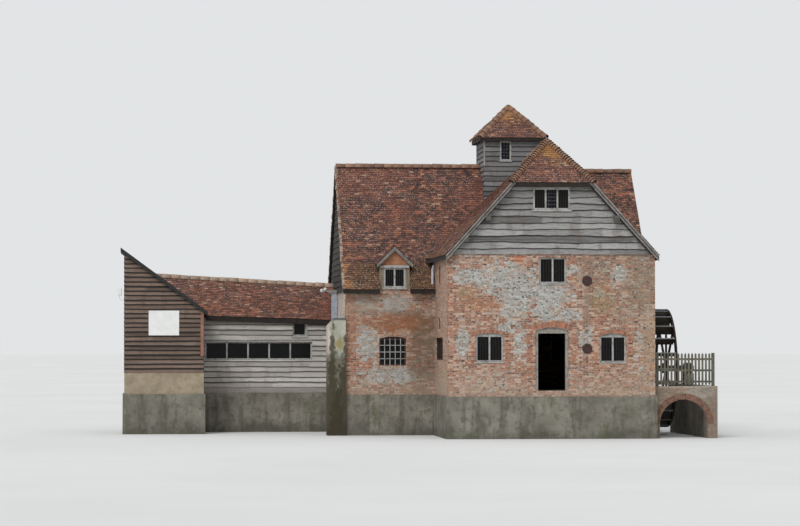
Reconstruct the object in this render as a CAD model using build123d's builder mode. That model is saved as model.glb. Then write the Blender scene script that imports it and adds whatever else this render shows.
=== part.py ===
"""A brick and weatherboard watermill with a tiled roof, a boarded tower and a side wheel.

X runs right along the front, Y runs back, Z runs up from the foot of the foundation.
The origin is on the foundation's base, at the front left corner of the cross wing.
"""
from build123d import *
from math import atan, degrees
import os

os.makedirs("parts", exist_ok=True)

# Levels: the terrace lies above the foot of the foundation, and each rise is measured from the terrace
terrace = 1700.0
floor_thick = 200.0
first_floor_rise = 2900.0
attic_floor_rise = 5450.0
tower_floor_rise = 7700.0
plinth_top = terrace - floor_thick

# Plan of the two ranges
wall = 350.0
plinth_proud = 60.0
plinth_ledge = 150.0
wing_x = (0.0, 7400.0)
wing_front = 0.0
main_x = (-3300.0, 7700.0)
main_y = (4500.0, 12300.0)
return_end = 5600.0

# Roofs: slopes are given by a ridge height and an eave height at the overhang
roof_thick = 150.0
main_overhang = 300.0
main_eave_rise = 3650.0
main_ridge_rise = 8400.0
right_ridge_rise = 8250.0
main_verge = (-3400.0, 8000.0)
wing_overhang = 100.0
wing_end_overhang = 250.0
wing_eave_rise = 4780.0
wing_ridge_rise = 8990.0
half_hip_rise = 7350.0
wing_fall = 600.0
wing_spread = 245.0
brick_rise = 4830.0
main_board_rise = 3600.0
board_wall = 150.0
board_proud = 20.0
cap_radius = 120.0
cap_sides = 12
disc_sides = 30
cap_back = 1.3 * cap_radius

main_eave_z = terrace + main_eave_rise
main_ridge_z = terrace + main_ridge_rise
main_mid = sum(main_y) / 2
main_half = (main_y[1] - main_y[0]) / 2 + main_overhang
main_pitch = (main_ridge_z - main_eave_z) / main_half
right_ridge_z = terrace + right_ridge_rise
right_pitch = (right_ridge_z - main_eave_z) / main_half
main_board_z = terrace + main_board_rise
wing_eave_z = terrace + wing_eave_rise
wing_ridge_z = terrace + wing_ridge_rise
half_hip_z = terrace + half_hip_rise
brick_top = terrace + brick_rise
wing_mid = sum(wing_x) / 2
wing_half = (wing_x[1] - wing_x[0]) / 2 + wing_overhang
wing_pitch = (wing_ridge_z - wing_eave_z) / wing_half
wing_y = (wing_front - wing_end_overhang, main_y[1] + wing_end_overhang)

# The wing's ridge falls, and its eaves spread, from the front gable back to the crossing
back_ridge_z = wing_ridge_z - wing_fall
back_half = wing_half + wing_spread
back_pitch = (back_ridge_z - wing_eave_z) / back_half
ridge_fall = wing_fall / (main_mid - wing_y[0])
front_hip_half = (wing_ridge_z - half_hip_z) / wing_pitch
front_hip_run = (wing_ridge_z - half_hip_z) / (wing_pitch + ridge_fall)
back_hip_run = (back_ridge_z - half_hip_z) / back_pitch

# Tower on the crossing of the ridges
tower_wide = 2150.0
tower_deep = 2350.0
tower_x0 = 2170.0
tower_foot_rise = 6850.0
tower_eave_rise = 9460.0
tower_apex_rise = 10720.0
tower_wall = 150.0
tower_overhang = 185.0
tower_roof_thick = 100.0
tower_x = (tower_x0, tower_x0 + tower_wide)
tower_y = (main_mid - tower_deep / 2, main_mid + tower_deep / 2)
tower_foot = terrace + tower_foot_rise
tower_eave_z = terrace + tower_eave_rise
tower_apex_z = terrace + tower_apex_rise

# Dormer that rises through the front eave
dormer_x = (-2050.0, -930.0)
dormer_wall = 120.0
dormer_foot_rise = 3680.0
dormer_eave_rise = 4580.0
dormer_apex_rise = 5230.0
dormer_overhang = 100.0
dormer_roof_thick = 90.0
dormer_back = 6200.0
dormer_foot = terrace + dormer_foot_rise
dormer_eave_z = terrace + dormer_eave_rise
dormer_apex_z = terrace + dormer_apex_rise


def hole_at(left, wide, sill, high):
    """Left, right, bottom and top of an opening whose sill is measured from the terrace."""
    return (left, left + wide, terrace + sill, terrace + sill + high)


# Windows and the doorway: left side, width, sill above the terrace, height
frame_bar = 60.0
frame_deep = 90.0
frame_inset = 60.0
pane = 8.0
pair_lights = 2
triple_lights = 3
broad_lights = 5
door_bar = 100.0
door_arch = 110.0
window_arch = 75.0
door_x0, door_wide, door_sill, door_high = 3110.0, 1180.0, 0.0, 2130.0
left_x0, left_wide, left_sill, left_high = 990.0, 980.0, 1020.0, 950.0
right_x0, right_wide, right_sill, right_high = 5410.0, 950.0, 1000.0, 950.0
first_x0, first_wide, first_sill, first_high = 3250.0, 970.0, 3800.0, 920.0
gable_x0, gable_wide, gable_high, gable_head_gap = 3030.0, 1320.0, 770.0, 170.0
gable_sill = half_hip_rise - gable_head_gap - gable_high
lattice_x0, lattice_wide, lattice_sill, lattice_high = -2050.0, 980.0, 870.0, 985.0
loft_x0, loft_wide, loft_sill, loft_high = -1890.0, 800.0, 3730.0, 730.0
lookout_x0, lookout_wide, lookout_sill, lookout_high = 2760.0, 440.0, 8610.0, 750.0
grille_y0, grille_wide, grille_sill, grille_high = 1750.0, 2600.0, 1080.0, 810.0
grille_bars = 5
small_x0, small_wide, small_sill, small_high = -5000.0, 530.0, 1960.0, 540.0
broad_x0, broad_wide, broad_sill, broad_high = -8350.0, 4100.0, 1050.0, 700.0
door = hole_at(door_x0, door_wide, door_sill, door_high)
ground_left = hole_at(left_x0, left_wide, left_sill, left_high)
ground_right = hole_at(right_x0, right_wide, right_sill, right_high)
first_window = hole_at(first_x0, first_wide, first_sill, first_high)
gable_window = hole_at(gable_x0, gable_wide, gable_sill, gable_high)
lattice_window = hole_at(lattice_x0, lattice_wide, lattice_sill, lattice_high)
dormer_window = hole_at(loft_x0, loft_wide, loft_sill, loft_high)
tower_window = hole_at(lookout_x0, lookout_wide, lookout_sill, lookout_high)
grille = hole_at(grille_y0, grille_wide, grille_sill, grille_high)
annex_small = hole_at(small_x0, small_wide, small_sill, small_high)
annex_broad = hole_at(broad_x0, broad_wide, broad_sill, broad_high)

# Barge boards, purlin ends and iron wall ties
barge_deep = 200.0
barge_thick = 35.0
dormer_barge_deep = 120.0
purlin_w = 180.0
purlin_h = 190.0
purlin_out = 300.0
purlin_share = 0.65
tie_radius = 180.0
tie_thick = 25.0
tie_x = 4960.0
lower_tie_rise = 1490.0
upper_tie_rise = 3890.0
bar_w = 60.0
bar_y = 2670.0
lower_bar_rise, lower_bar_high = 2200.0, 390.0
upper_bar_rise, upper_bar_high = 3850.0, 630.0
tie_levels = (terrace + lower_tie_rise, terrace + upper_tie_rise)
bar_levels = (
    (terrace + lower_bar_rise, terrace + lower_bar_rise + lower_bar_high),
    (terrace + upper_bar_rise, terrace + upper_bar_rise + upper_bar_high),
)

# Buttress on the front left corner
buttress_proud = 670.0
buttress_front = 200.0
buttress_along = 800.0
buttress_side_rise = 2320.0
buttress_slope = 290.0
buttress_slope_run = 250.0
buttress_x = main_x[0] - buttress_proud
buttress_y = (main_y[0] - buttress_front, main_y[0] - buttress_front + buttress_along)
buttress_low = terrace + buttress_side_rise

# Waterwheel and its race
wheel_r = 2200.0
wheel_wide = 900.0
wheel_gap = 150.0
wheel_y = 5000.0
wheel_rise = 760.0
wheel_z = terrace + wheel_rise
rim_deep = 250.0
rim_thick = 60.0
rim_segments = 48
arm_count = 8
arm_foot = 150.0
arm_head = 95.0
hub_r = 320.0
boss_r = 190.0
boss_deep = 160.0
shaft_r = 100.0
shaft_x = (6850.0, 9750.0)
float_count = 24
float_deep = 420.0
float_thick = 40.0
shaft_gap = 0.5
bearing_r = 300.0
bearing_t = 60.0
bearing_len = 260.0
wheel_x = (main_x[1] + wheel_gap, main_x[1] + wheel_gap + wheel_wide)

race_x = (7620.0, 9350.0)
race_wall = 350.0
race_front = 300.0
race_back = 7600.0
race_rise = 160.0
crown_drop = 320.0
pier_wide = 700.0
bearing_high = 200.0
race_top = terrace + race_rise
arch_crown = terrace - crown_drop
pier_y = (wheel_y - pier_wide / 2, wheel_y + pier_wide / 2)
pier_top = wheel_z - bearing_high

# Picket fence on the race arch
fence_x = (7500.0, 9620.0)
fence_y = 420.0
fence_rise = 1180.0
fence_post = 100.0
rail_rise = 120.0
rail_step = 400.0
rail_count = 3
rail_h = 70.0
rail_t = 40.0
picket_w = 70.0
picket_t = 22.0
picket_count = 15
picket_foot = 40.0
picket_point = 60.0
fence_top = race_top + fence_rise
fence_rails = [race_top + rail_rise + i * rail_step for i in range(rail_count)]

# Low range on the left, its roof line falling gently to the right
annex_long = 6900.0
annex_wall = 250.0
annex_front_y = 9100.0
annex_x = (main_x[0] - annex_long, main_x[0])
annex_y = (annex_front_y, main_y[1])
left_eave_rise, left_ridge_rise = 2800.0, 4290.0
right_eave_rise, right_ridge_rise = 2550.0, 3900.0
annex_ends = (
    (terrace + left_eave_rise, terrace + left_ridge_rise),
    (terrace + right_eave_rise, terrace + right_ridge_rise),
)
annex_overhang = 150.0
annex_roof_thick = 180.0

# Boarded shed in front of it
shed_x = (-11400.0, -8450.0)
shed_front_y = 6600.0
shed_y = (shed_front_y, annex_y[0])
shed_wall = 150.0
shed_high_rise = 5250.0
shed_low_rise = 2860.0
shed_high = terrace + shed_high_rise
shed_low = terrace + shed_low_rise
shed_overhang = 150.0
shed_roof_thick = 150.0
sign_x0, sign_wide, sign_rise, sign_high = -10500.0, 1130.0, 1980.0, 920.0
sign = hole_at(sign_x0, sign_wide, sign_rise, sign_high)
sign_thick = 25.0

CORNER = (Align.MIN, Align.MIN, Align.MIN)


def block(xs, ys, zs, mode=Mode.ADD):
    """A box between two values on each axis."""
    with Locations((xs[0], ys[0], zs[0])):
        Box(xs[1] - xs[0], ys[1] - ys[0], zs[1] - zs[0], align=CORNER, mode=mode)


def along_x(points, xs, mode=Mode.ADD):
    """A prism whose outline is drawn in Y and Z."""
    with BuildSketch(Plane.YZ.offset(xs[0])) as outline:
        with BuildLine():
            Polyline(*points, close=True)
        make_face()
    extrude(outline.sketch, amount=xs[1] - xs[0], mode=mode)


def along_y(points, ys, mode=Mode.ADD):
    """A prism whose outline is drawn in X and Z."""
    with BuildSketch(Plane.XZ.offset(-ys[0])) as outline:
        with BuildLine():
            Polyline(*points, close=True)
        make_face()
    extrude(outline.sketch, amount=ys[0] - ys[1], mode=mode)


def roof_points(mid, half, ridge, pitch, drop, foot):
    """A house outline: two slopes lowered by drop, and sides down to foot."""
    eave = ridge - half * pitch - drop
    left, right = mid - half, mid + half
    return [(left, foot), (left, eave), (mid, ridge - drop), (right, eave), (right, foot)]


def finish(node, name):
    node.part.label = name
    export_step(node.part, f"parts/{name}.step")


# Bodies of air under the roofs and of building under the tiles
far = 1000.0


def main_volume(drop):
    """The main range below its roof planes, lowered by drop; its ridge is lower right of the tower."""
    left = roof_points(main_mid, main_half, main_ridge_z, main_pitch, drop, 0)
    right = roof_points(main_mid, main_half, right_ridge_z, right_pitch, drop, 0)
    along_x(left, (main_verge[0], wing_mid))
    along_x(right, (wing_mid, main_verge[1]))


def wing_volume(drop):
    """The wing below its roof planes, lowered by drop and cut by a half-hip at each end."""
    front = roof_points(wing_mid, wing_half, wing_ridge_z, wing_pitch, drop, 0)
    back = roof_points(wing_mid, back_half, back_ridge_z, back_pitch, drop, 0)
    sections = []
    for y, points in ((wing_y[0], front), (main_mid, back)):
        with BuildSketch(Plane.XZ.offset(-y)) as section:
            with BuildLine():
                Polyline(*points, close=True)
            make_face()
        sections.append(section.sketch.face())
    loft(sections, ruled=True)
    along_y(back, (main_mid, wing_y[1]))
    low = half_hip_z - drop
    rise = far + (wing_ridge_z - half_hip_z)
    for end, way, pitch in ((wing_y[0], 1, wing_pitch), (wing_y[1], -1, back_pitch)):
        points = [
            (end - way * far, low - far * pitch), (end + way * rise / pitch, low + rise),
            (end - way * far, low + rise),
        ]
        along_x(points, (wing_x[0] - far, wing_x[1] + far), Mode.SUBTRACT)


with BuildPart() as under_main:
    main_volume(roof_thick)

with BuildPart() as under_wing:
    wing_volume(roof_thick)

with BuildPart() as under_roof:
    add(under_wing.part)
    block(wing_x, wing_y, (0, wing_ridge_z), Mode.INTERSECT)
    add(under_main.part)

with BuildPart() as over_main:
    main_volume(0)

with BuildPart() as over_wing:
    wing_volume(0)

with BuildPart() as wing_body:
    add(over_wing.part)
    block((wing_x[0], wing_x[1]), (wing_y[0] - far, wing_y[1] + far), (0, wing_ridge_z + far), Mode.INTERSECT)
    block(wing_x, (main_y[1], main_y[1] + far), (0, wing_eave_z))

# Plinth: a rendered base under every outer wall, with a ledge for the floor
def outline_of(xs, ys, grow, mode=Mode.ADD):
    """A rectangle over a room's plan, grown or shrunk on the sides that are given."""
    left, right, front, back = grow
    with Locations((xs[0] - left, ys[0] - front)):
        Rectangle(xs[1] - xs[0] + left + right, ys[1] - ys[0] + front + back, align=CORNER[:2], mode=mode)


with BuildPart() as plinth:
    out, into = plinth_proud, -wall - plinth_ledge
    with BuildSketch():
        outline_of(main_x, main_y, (out, out, out, out))
        outline_of(wing_x, (wing_front, main_y[0]), (out, out, out, 0))
        outline_of(annex_x, annex_y, (out, 0, out, out))
        outline_of(shed_x, shed_y, (out, out, out, 0))
        outline_of(main_x, main_y, (into, into, into, into), Mode.SUBTRACT)
        outline_of(wing_x, (wing_front, main_y[0]), (into, into, into, -into), Mode.SUBTRACT)
        outline_of(annex_x, annex_y, (into, into, into, into), Mode.SUBTRACT)
        outline_of(shed_x, shed_y, (into, into, into, into), Mode.SUBTRACT)
    extrude(amount=plinth_top)
finish(plinth, "plinth")


def opening(hole, ys):
    """Cut a square-headed window through a wall that faces front or back."""
    block(hole[:2], ys, hole[2:], Mode.SUBTRACT)


def arched(hole, ys, rise, mode=Mode.SUBTRACT):
    """A prism through a wall, its head a shallow arc that rises above the springing."""
    left, right, sill, spring = hole
    with BuildSketch(Plane.XZ.offset(-ys[0])) as outline:
        with BuildLine():
            Polyline((left, spring), (left, sill), (right, sill), (right, spring))
            ThreePointArc((right, spring), ((left + right) / 2, spring + rise), (left, spring))
        make_face()
    extrude(outline.sketch, amount=ys[0] - ys[1], mode=mode)


# Brick walls of the cross wing
with BuildPart() as wing_front_wall:
    block(wing_x, (wing_front, wing_front + wall), (plinth_top, brick_top))
    arched(door, (wing_front, wing_front + wall), door_arch)
    for hole in (ground_left, ground_right):
        arched(hole, (wing_front, wing_front + wall), window_arch)
    opening(first_window, (wing_front, wing_front + wall))
    add(under_roof.part, mode=Mode.INTERSECT)
finish(wing_front_wall, "wing_front_wall")

with BuildPart() as wing_left_wall:
    block((wing_x[0], wing_x[0] + wall), (wing_front + wall, return_end), (plinth_top, wing_ridge_z))
    block((wing_x[0], wing_x[0] + wall), grille[:2], grille[2:], Mode.SUBTRACT)
    add(under_wing.part, mode=Mode.INTERSECT)
finish(wing_left_wall, "wing_left_wall")


def shaft_hole(xs, radius):
    """A round hole along the wheel's axis."""
    with BuildSketch(Plane.YZ.offset(xs[0])) as bore:
        with Locations((wheel_y, wheel_z)):
            Circle(radius)
    extrude(bore.sketch, amount=xs[1] - xs[0], mode=Mode.SUBTRACT)


with BuildPart() as wing_right_wall:
    block((wing_x[1] - wall, wing_x[1]), (wing_front + wall, return_end), (plinth_top, wing_ridge_z))
    shaft_hole((wing_x[1] - wall, wing_x[1]), shaft_r + shaft_gap)
    add(under_wing.part, mode=Mode.INTERSECT)
finish(wing_right_wall, "wing_right_wall")

# Brick walls of the main range
with BuildPart() as main_front_wall:
    block((main_x[0], wing_x[0]), (main_y[0], main_y[0] + wall), (plinth_top, main_ridge_z))
    arched(lattice_window, (main_y[0], main_y[0] + wall), window_arch)
    block(dormer_x, (main_y[0], main_y[0] + wall), (dormer_foot, main_ridge_z), Mode.SUBTRACT)
    add(under_main.part, mode=Mode.INTERSECT)
finish(main_front_wall, "main_front_wall")

side_y = (main_y[0] + wall, main_y[1] - wall)
with BuildPart() as main_left_wall:
    block((main_x[0], main_x[0] + wall), side_y, (plinth_top, main_board_z))
    add(under_main.part, mode=Mode.INTERSECT)
finish(main_left_wall, "main_left_wall")

right_x = (wing_x[1], main_x[1])
with BuildPart() as main_right_wall:
    block(right_x, (main_y[0], side_y[1]), (plinth_top, main_board_z))
    shaft_hole(right_x, shaft_r + shaft_gap)
    add(under_main.part, mode=Mode.INTERSECT)
finish(main_right_wall, "main_right_wall")

rear_y = (main_y[1] - wall, main_y[1])
with BuildPart() as rear_wall:
    block(main_x, rear_y, (plinth_top, brick_top))
    for hole in (ground_left, ground_right):
        arched(hole, rear_y, window_arch)
    opening(first_window, rear_y)
    add(under_roof.part, mode=Mode.INTERSECT)
finish(rear_wall, "rear_wall")

# Boarded gables
front_board_y = (wing_front - board_proud, wing_front - board_proud + board_wall)
with BuildPart() as gable_front:
    block(wing_x, front_board_y, (brick_top, wing_ridge_z))
    opening(gable_window, front_board_y)
    add(under_wing.part, mode=Mode.INTERSECT)
finish(gable_front, "gable_front")

rear_board_y = (main_y[1] + board_proud - board_wall, main_y[1] + board_proud)
with BuildPart() as gable_rear:
    block(wing_x, rear_board_y, (brick_top, wing_ridge_z))
    opening(gable_window, rear_board_y)
    add(under_wing.part, mode=Mode.INTERSECT)
finish(gable_rear, "gable_rear")

left_board_x = (main_x[0] - board_proud, main_x[0] - board_proud + board_wall)
with BuildPart() as gable_left:
    block(left_board_x, side_y, (main_board_z, main_ridge_z))
    add(under_main.part, mode=Mode.INTERSECT)
finish(gable_left, "gable_left")

right_board_x = (main_x[1] + board_proud - board_wall, main_x[1] + board_proud)
with BuildPart() as gable_right:
    block(right_board_x, side_y, (main_board_z, main_ridge_z))
    add(under_main.part, mode=Mode.INTERSECT)
finish(gable_right, "gable_right")

# Floors
with BuildPart() as ground_floor:
    block((main_x[0] + wall, right_x[0]), side_y, (plinth_top, terrace))
    block((wing_x[0] + wall, wing_x[1] - wall), (wing_front + wall, side_y[0]), (plinth_top, terrace))
    for ends in ((wing_x[0], wing_x[0] + wall), (wing_x[1] - wall, wing_x[1])):
        block(ends, (wing_front, return_end), (plinth_top, terrace), Mode.SUBTRACT)
finish(ground_floor, "ground_floor")


def inner_floor(top):
    """A floor plate between the inner wall faces, kept under the roof."""
    zs = (top - floor_thick, top)
    block((main_x[0] + wall, right_x[0]), side_y, zs)
    block((wing_x[0] + wall, wing_x[1] - wall), (wing_front + wall, side_y[0]), zs)
    for ends in ((wing_x[0], wing_x[0] + wall), (wing_x[1] - wall, wing_x[1])):
        block(ends, (wing_front, return_end), zs, Mode.SUBTRACT)
    add(under_roof.part, mode=Mode.INTERSECT)


with BuildPart() as first_floor:
    inner_floor(terrace + first_floor_rise)
finish(first_floor, "first_floor")

with BuildPart() as attic_floor:
    inner_floor(terrace + attic_floor_rise)
finish(attic_floor, "attic_floor")

with BuildPart() as tower_floor:
    inside_x = (tower_x[0] + tower_wall, tower_x[1] - tower_wall)
    inside_y = (tower_y[0] + tower_wall, tower_y[1] - tower_wall)
    tower_floor_top = terrace + tower_floor_rise
    block(inside_x, inside_y, (tower_floor_top - tower_wall, tower_floor_top))
finish(tower_floor, "tower_floor")


# Tiled roofs, mitred where the ranges cross
def tower_hole():
    block(tower_x, tower_y, (tower_foot, tower_apex_z), Mode.SUBTRACT)


def wing_roof_half(ys):
    """The wing's two slopes and its half-hip, on one side of the main ridge."""
    add(over_wing.part)
    add(under_wing.part, mode=Mode.SUBTRACT)
    add(under_main.part, mode=Mode.SUBTRACT)
    block((wing_x[0] - far, wing_x[1] + far), ys, (0, wing_ridge_z + far), Mode.INTERSECT)
    tower_hole()


with BuildPart() as wing_roof_front:
    wing_roof_half((wing_y[0] - far, main_mid))
finish(wing_roof_front, "wing_roof_front")

with BuildPart() as wing_roof_rear:
    wing_roof_half((main_mid, wing_y[1] + far))
finish(wing_roof_rear, "wing_roof_rear")

dormer_mid = sum(dormer_x) / 2
dormer_front_y = (main_y[0], main_y[0] + dormer_wall)
inside_dormer = (dormer_x[0] + dormer_wall, dormer_x[1] - dormer_wall)


def main_roof_shell(xs, ridge, pitch):
    along_x(roof_points(main_mid, main_half, ridge, pitch, 0, main_eave_z - roof_thick), xs)
    add(under_main.part, mode=Mode.SUBTRACT)
    add(wing_body.part, mode=Mode.SUBTRACT)
    add(wing_roof_front.part, mode=Mode.SUBTRACT)
    add(wing_roof_rear.part, mode=Mode.SUBTRACT)
    tower_hole()


with BuildPart() as main_roof_left:
    main_roof_shell((main_verge[0], wing_mid), main_ridge_z, main_pitch)
    block(dormer_x, (main_y[0] - main_overhang, dormer_front_y[1]), (0, main_ridge_z), Mode.SUBTRACT)
    opening_back = dormer_front_y[1] + (dormer_eave_z - dormer_foot) / main_pitch
    block(inside_dormer, (dormer_front_y[1], opening_back), (0, main_ridge_z), Mode.SUBTRACT)
finish(main_roof_left, "main_roof_left")

with BuildPart() as main_roof_right:
    main_roof_shell((wing_mid, main_verge[1]), right_ridge_z, right_pitch)
finish(main_roof_right, "main_roof_right")

# Tower
tower_mid = (sum(tower_x) / 2, sum(tower_y) / 2)
tower_rise = tower_apex_z - tower_eave_z
tower_half_x = tower_wide / 2 + tower_overhang
tower_half_y = tower_deep / 2 + tower_overhang
tower_reach = (tower_mid[0] - tower_half_x, tower_mid[0] + tower_half_x)
tower_depth = (tower_mid[1] - tower_half_y, tower_mid[1] + tower_half_y)


def pyramid(drop, foot):
    """Two crossed house outlines leave a pyramid over the tower's plan."""
    side = (tower_mid[1], tower_half_y, tower_apex_z, tower_rise / tower_half_y)
    front = (tower_mid[0], tower_half_x, tower_apex_z, tower_rise / tower_half_x)
    with BuildPart(mode=Mode.PRIVATE) as shape:
        along_x(roof_points(*side, drop, foot), tower_reach)
        along_y(roof_points(*front, drop, foot), tower_depth, Mode.INTERSECT)
    return shape.part


under_tower = pyramid(tower_roof_thick, tower_foot)
over_tower = pyramid(0, tower_eave_z - tower_roof_thick)

with BuildPart() as tower_walls:
    block(tower_x, tower_y, (tower_foot, tower_apex_z))
    block(inside_x, inside_y, (tower_foot, tower_apex_z), Mode.SUBTRACT)
    opening(tower_window, (tower_y[0], tower_y[0] + tower_wall))
    opening(tower_window, (tower_y[1] - tower_wall, tower_y[1]))
    add(under_tower, mode=Mode.INTERSECT)
finish(tower_walls, "tower_walls")

with BuildPart() as tower_roof:
    add(over_tower)
    add(under_tower, mode=Mode.SUBTRACT)
finish(tower_roof, "tower_roof")

# Dormer
dormer_half = (dormer_x[1] - dormer_x[0]) / 2 + dormer_overhang
dormer_pitch = (dormer_apex_z - dormer_eave_z) / dormer_half
dormer_shape = (dormer_mid, dormer_half, dormer_apex_z, dormer_pitch)
with BuildPart() as under_dormer:
    along_y(roof_points(*dormer_shape, dormer_roof_thick, 0), (main_y[0] - main_overhang, dormer_back))

with BuildPart() as dormer_walls:
    block(dormer_x, (dormer_front_y[0], dormer_back), (dormer_foot, dormer_apex_z))
    block(inside_dormer, (dormer_front_y[1], dormer_back), (dormer_foot, dormer_apex_z), Mode.SUBTRACT)
    with BuildPart(mode=Mode.PRIVATE) as behind:
        block(dormer_x, (dormer_front_y[1], dormer_back), (dormer_foot, dormer_apex_z))
        add(over_main.part, mode=Mode.INTERSECT)
    add(behind.part, mode=Mode.SUBTRACT)
    opening(dormer_window, dormer_front_y)
    add(under_dormer.part, mode=Mode.INTERSECT)
finish(dormer_walls, "dormer_walls")

with BuildPart() as dormer_roof:
    front = dormer_front_y[0] - dormer_wall
    along_y(roof_points(*dormer_shape, 0, dormer_eave_z - dormer_roof_thick), (front, dormer_back))
    add(under_dormer.part, mode=Mode.SUBTRACT)
    add(over_main.part, mode=Mode.SUBTRACT)
finish(dormer_roof, "dormer_roof")


# Ridge and hip caps: many-sided rods on the roof lines, with the roof itself taken away
def rod(start, end, cut_start=0, cut_end=0):
    """A many-sided rod between two points, held back from each by a cut."""
    line = Vector(*end) - Vector(*start)
    step = line.normalized()
    with BuildSketch(Plane(origin=Vector(*start) + step * cut_start, z_dir=line)) as end_face:
        RegularPolygon(cap_radius, cap_sides, rotation=90 / cap_sides)
    extrude(end_face.sketch, amount=line.length - cut_start - cut_end)


def ridge_at(y):
    """The wing ridge's height over a distance back, falling to the crossing and level behind it."""
    return max(wing_ridge_z - (y - wing_y[0]) * ridge_fall, back_ridge_z)


hip_tops = (wing_y[0] + front_hip_run, wing_y[1] - back_hip_run)
ridge_lines = [
    ((main_verge[0], main_mid, main_ridge_z), (tower_x[0], main_mid, main_ridge_z), 0, 0),
    ((main_verge[1], main_mid, right_ridge_z), (tower_x[1], main_mid, right_ridge_z), 0, 0),
]
wing_ends = zip(wing_y, hip_tops, tower_y, (front_hip_half, back_hip_run))
for end_y, top_y, tower_face, half in wing_ends:
    top = (wing_mid, top_y, ridge_at(top_y))
    ridge_lines.append((top, (wing_mid, tower_face, ridge_at(tower_face)), cap_back, 0))
    for foot_x in (wing_mid - half, wing_mid + half):
        ridge_lines.append(((foot_x, end_y, half_hip_z), top, 0, cap_back))

with BuildPart() as ridge_caps:
    for line in ridge_lines:
        with BuildPart(mode=Mode.PRIVATE) as cap:
            rod(*line)
            add(over_main.part, mode=Mode.SUBTRACT)
            add(over_wing.part, mode=Mode.SUBTRACT)
            block(main_verge, wing_y, (half_hip_z, tower_apex_z), Mode.INTERSECT)
            tower_hole()
        add(cap.part)
finish(ridge_caps, "ridge_caps")

with BuildPart() as tower_caps:
    for corner_x in tower_reach:
        for corner_y in tower_depth:
            with BuildPart(mode=Mode.PRIVATE) as cap:
                rod((corner_x, corner_y, tower_eave_z), (*tower_mid, tower_apex_z), 0, 2 * cap_back)
                add(over_tower, mode=Mode.SUBTRACT)
                block(tower_reach, tower_depth, (tower_eave_z, tower_apex_z + far), Mode.INTERSECT)
            add(cap.part)
    with BuildPart(mode=Mode.PRIVATE) as top_cap:
        top_x = (tower_mid[0] - cap_radius, tower_mid[0] + cap_radius)
        top_y = (tower_mid[1] - cap_radius, tower_mid[1] + cap_radius)
        block(top_x, top_y, (tower_apex_z - 2 * cap_radius, tower_apex_z + cap_radius / 2))
        add(over_tower, mode=Mode.SUBTRACT)
    add(top_cap.part)
finish(tower_caps, "tower_caps")


# Window frames and their panes
def bars_front(hole, y_face, lights, rise=0.0, width=frame_bar):
    """A frame with upright mullions in a wall facing front, y_face its outer side; rise fills an arch."""
    ys = (y_face, y_face + frame_deep)
    if rise:
        arched(hole, ys, rise, Mode.ADD)
    else:
        block(hole[:2], ys, hole[2:])
    step = (hole[1] - hole[0] - width) / lights
    for i in range(lights):
        left = hole[0] + width + i * step
        block((left, left + step - width), ys, (hole[2] + width, hole[3] - width), Mode.SUBTRACT)


def panes_front(hole, y_face, lights, rise=0.0, width=frame_bar):
    """One pane of glass in the middle of each light of such a frame."""
    mid = y_face + frame_deep / 2
    step = (hole[1] - hole[0] - width) / lights
    for i in range(lights):
        left = hole[0] + width + i * step
        xs = (left, left + step - width)
        block(xs, (mid - pane / 2, mid + pane / 2), (hole[2] + width, hole[3] - width))


rear_face = main_y[1] - frame_inset - frame_deep
front_frames = (
    (ground_left, wing_front + frame_inset, pair_lights, window_arch),
    (ground_right, wing_front + frame_inset, pair_lights, window_arch),
    (first_window, wing_front + frame_inset, pair_lights),
)
rear_frames = (
    (ground_left, rear_face, pair_lights, window_arch),
    (ground_right, rear_face, pair_lights, window_arch),
    (first_window, rear_face, pair_lights),
    (gable_window, rear_board_y[1] - frame_deep, triple_lights),
)
single_frames = {
    "window_gable": (gable_window, front_board_y[0], triple_lights),
    "window_lattice": (lattice_window, main_y[0] + frame_inset, 1, window_arch),
    "window_dormer": (dormer_window, dormer_front_y[0], pair_lights),
}
tower_frames = (
    (tower_window, tower_y[0], 1),
    (tower_window, tower_y[1] - frame_deep, 1),
)
annex_frames = (
    (annex_small, annex_y[0] + frame_inset, 1),
    (annex_broad, annex_y[0] + frame_inset, broad_lights),
)

with BuildPart() as windows_wing:
    for spec in front_frames:
        bars_front(*spec)
finish(windows_wing, "windows_wing")

with BuildPart() as windows_rear:
    for spec in rear_frames:
        bars_front(*spec)
finish(windows_rear, "windows_rear")

for name, spec in single_frames.items():
    with BuildPart() as window:
        bars_front(*spec)
    finish(window, name)

with BuildPart() as windows_tower:
    for spec in tower_frames:
        bars_front(*spec)
finish(windows_tower, "windows_tower")

with BuildPart() as windows_annex:
    for spec in annex_frames:
        bars_front(*spec)
finish(windows_annex, "windows_annex")

grille_x = (wing_x[0] + frame_inset, wing_x[0] + frame_inset + frame_deep)
grille_hole = (grille[0] + frame_bar, grille[1] - frame_bar)
grille_zs = (grille[2] + frame_bar, grille[3] - frame_bar)
with BuildPart() as window_grille:
    block(grille_x, grille[:2], grille[2:])
    block(grille_x, grille_hole, grille_zs, Mode.SUBTRACT)
    pitch_y = (grille_hole[1] - grille_hole[0]) / (grille_bars + 1)
    for i in range(grille_bars):
        y = grille_hole[0] + (i + 1) * pitch_y
        block((grille_x[0], grille_x[0] + frame_bar / 2), (y - frame_bar / 4, y + frame_bar / 4), grille_zs)
finish(window_grille, "window_grille")

with BuildPart() as glass_panes:
    for spec in (*front_frames, *rear_frames, *single_frames.values(), *tower_frames, *annex_frames):
        panes_front(*spec)
    behind_bars = (grille_x[1] - 3 * pane, grille_x[1] - 2 * pane)
    block(behind_bars, grille_hole, grille_zs)
finish(glass_panes, "glass_panes")

with BuildPart() as door_frame:
    ys = (wing_front + frame_inset, wing_front + frame_inset + door_bar)
    arched(door, ys, door_arch, Mode.ADD)
    block((door[0] + door_bar, door[1] - door_bar), ys, (door[2], door[3] - door_bar), Mode.SUBTRACT)
finish(door_frame, "door_frame")


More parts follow.
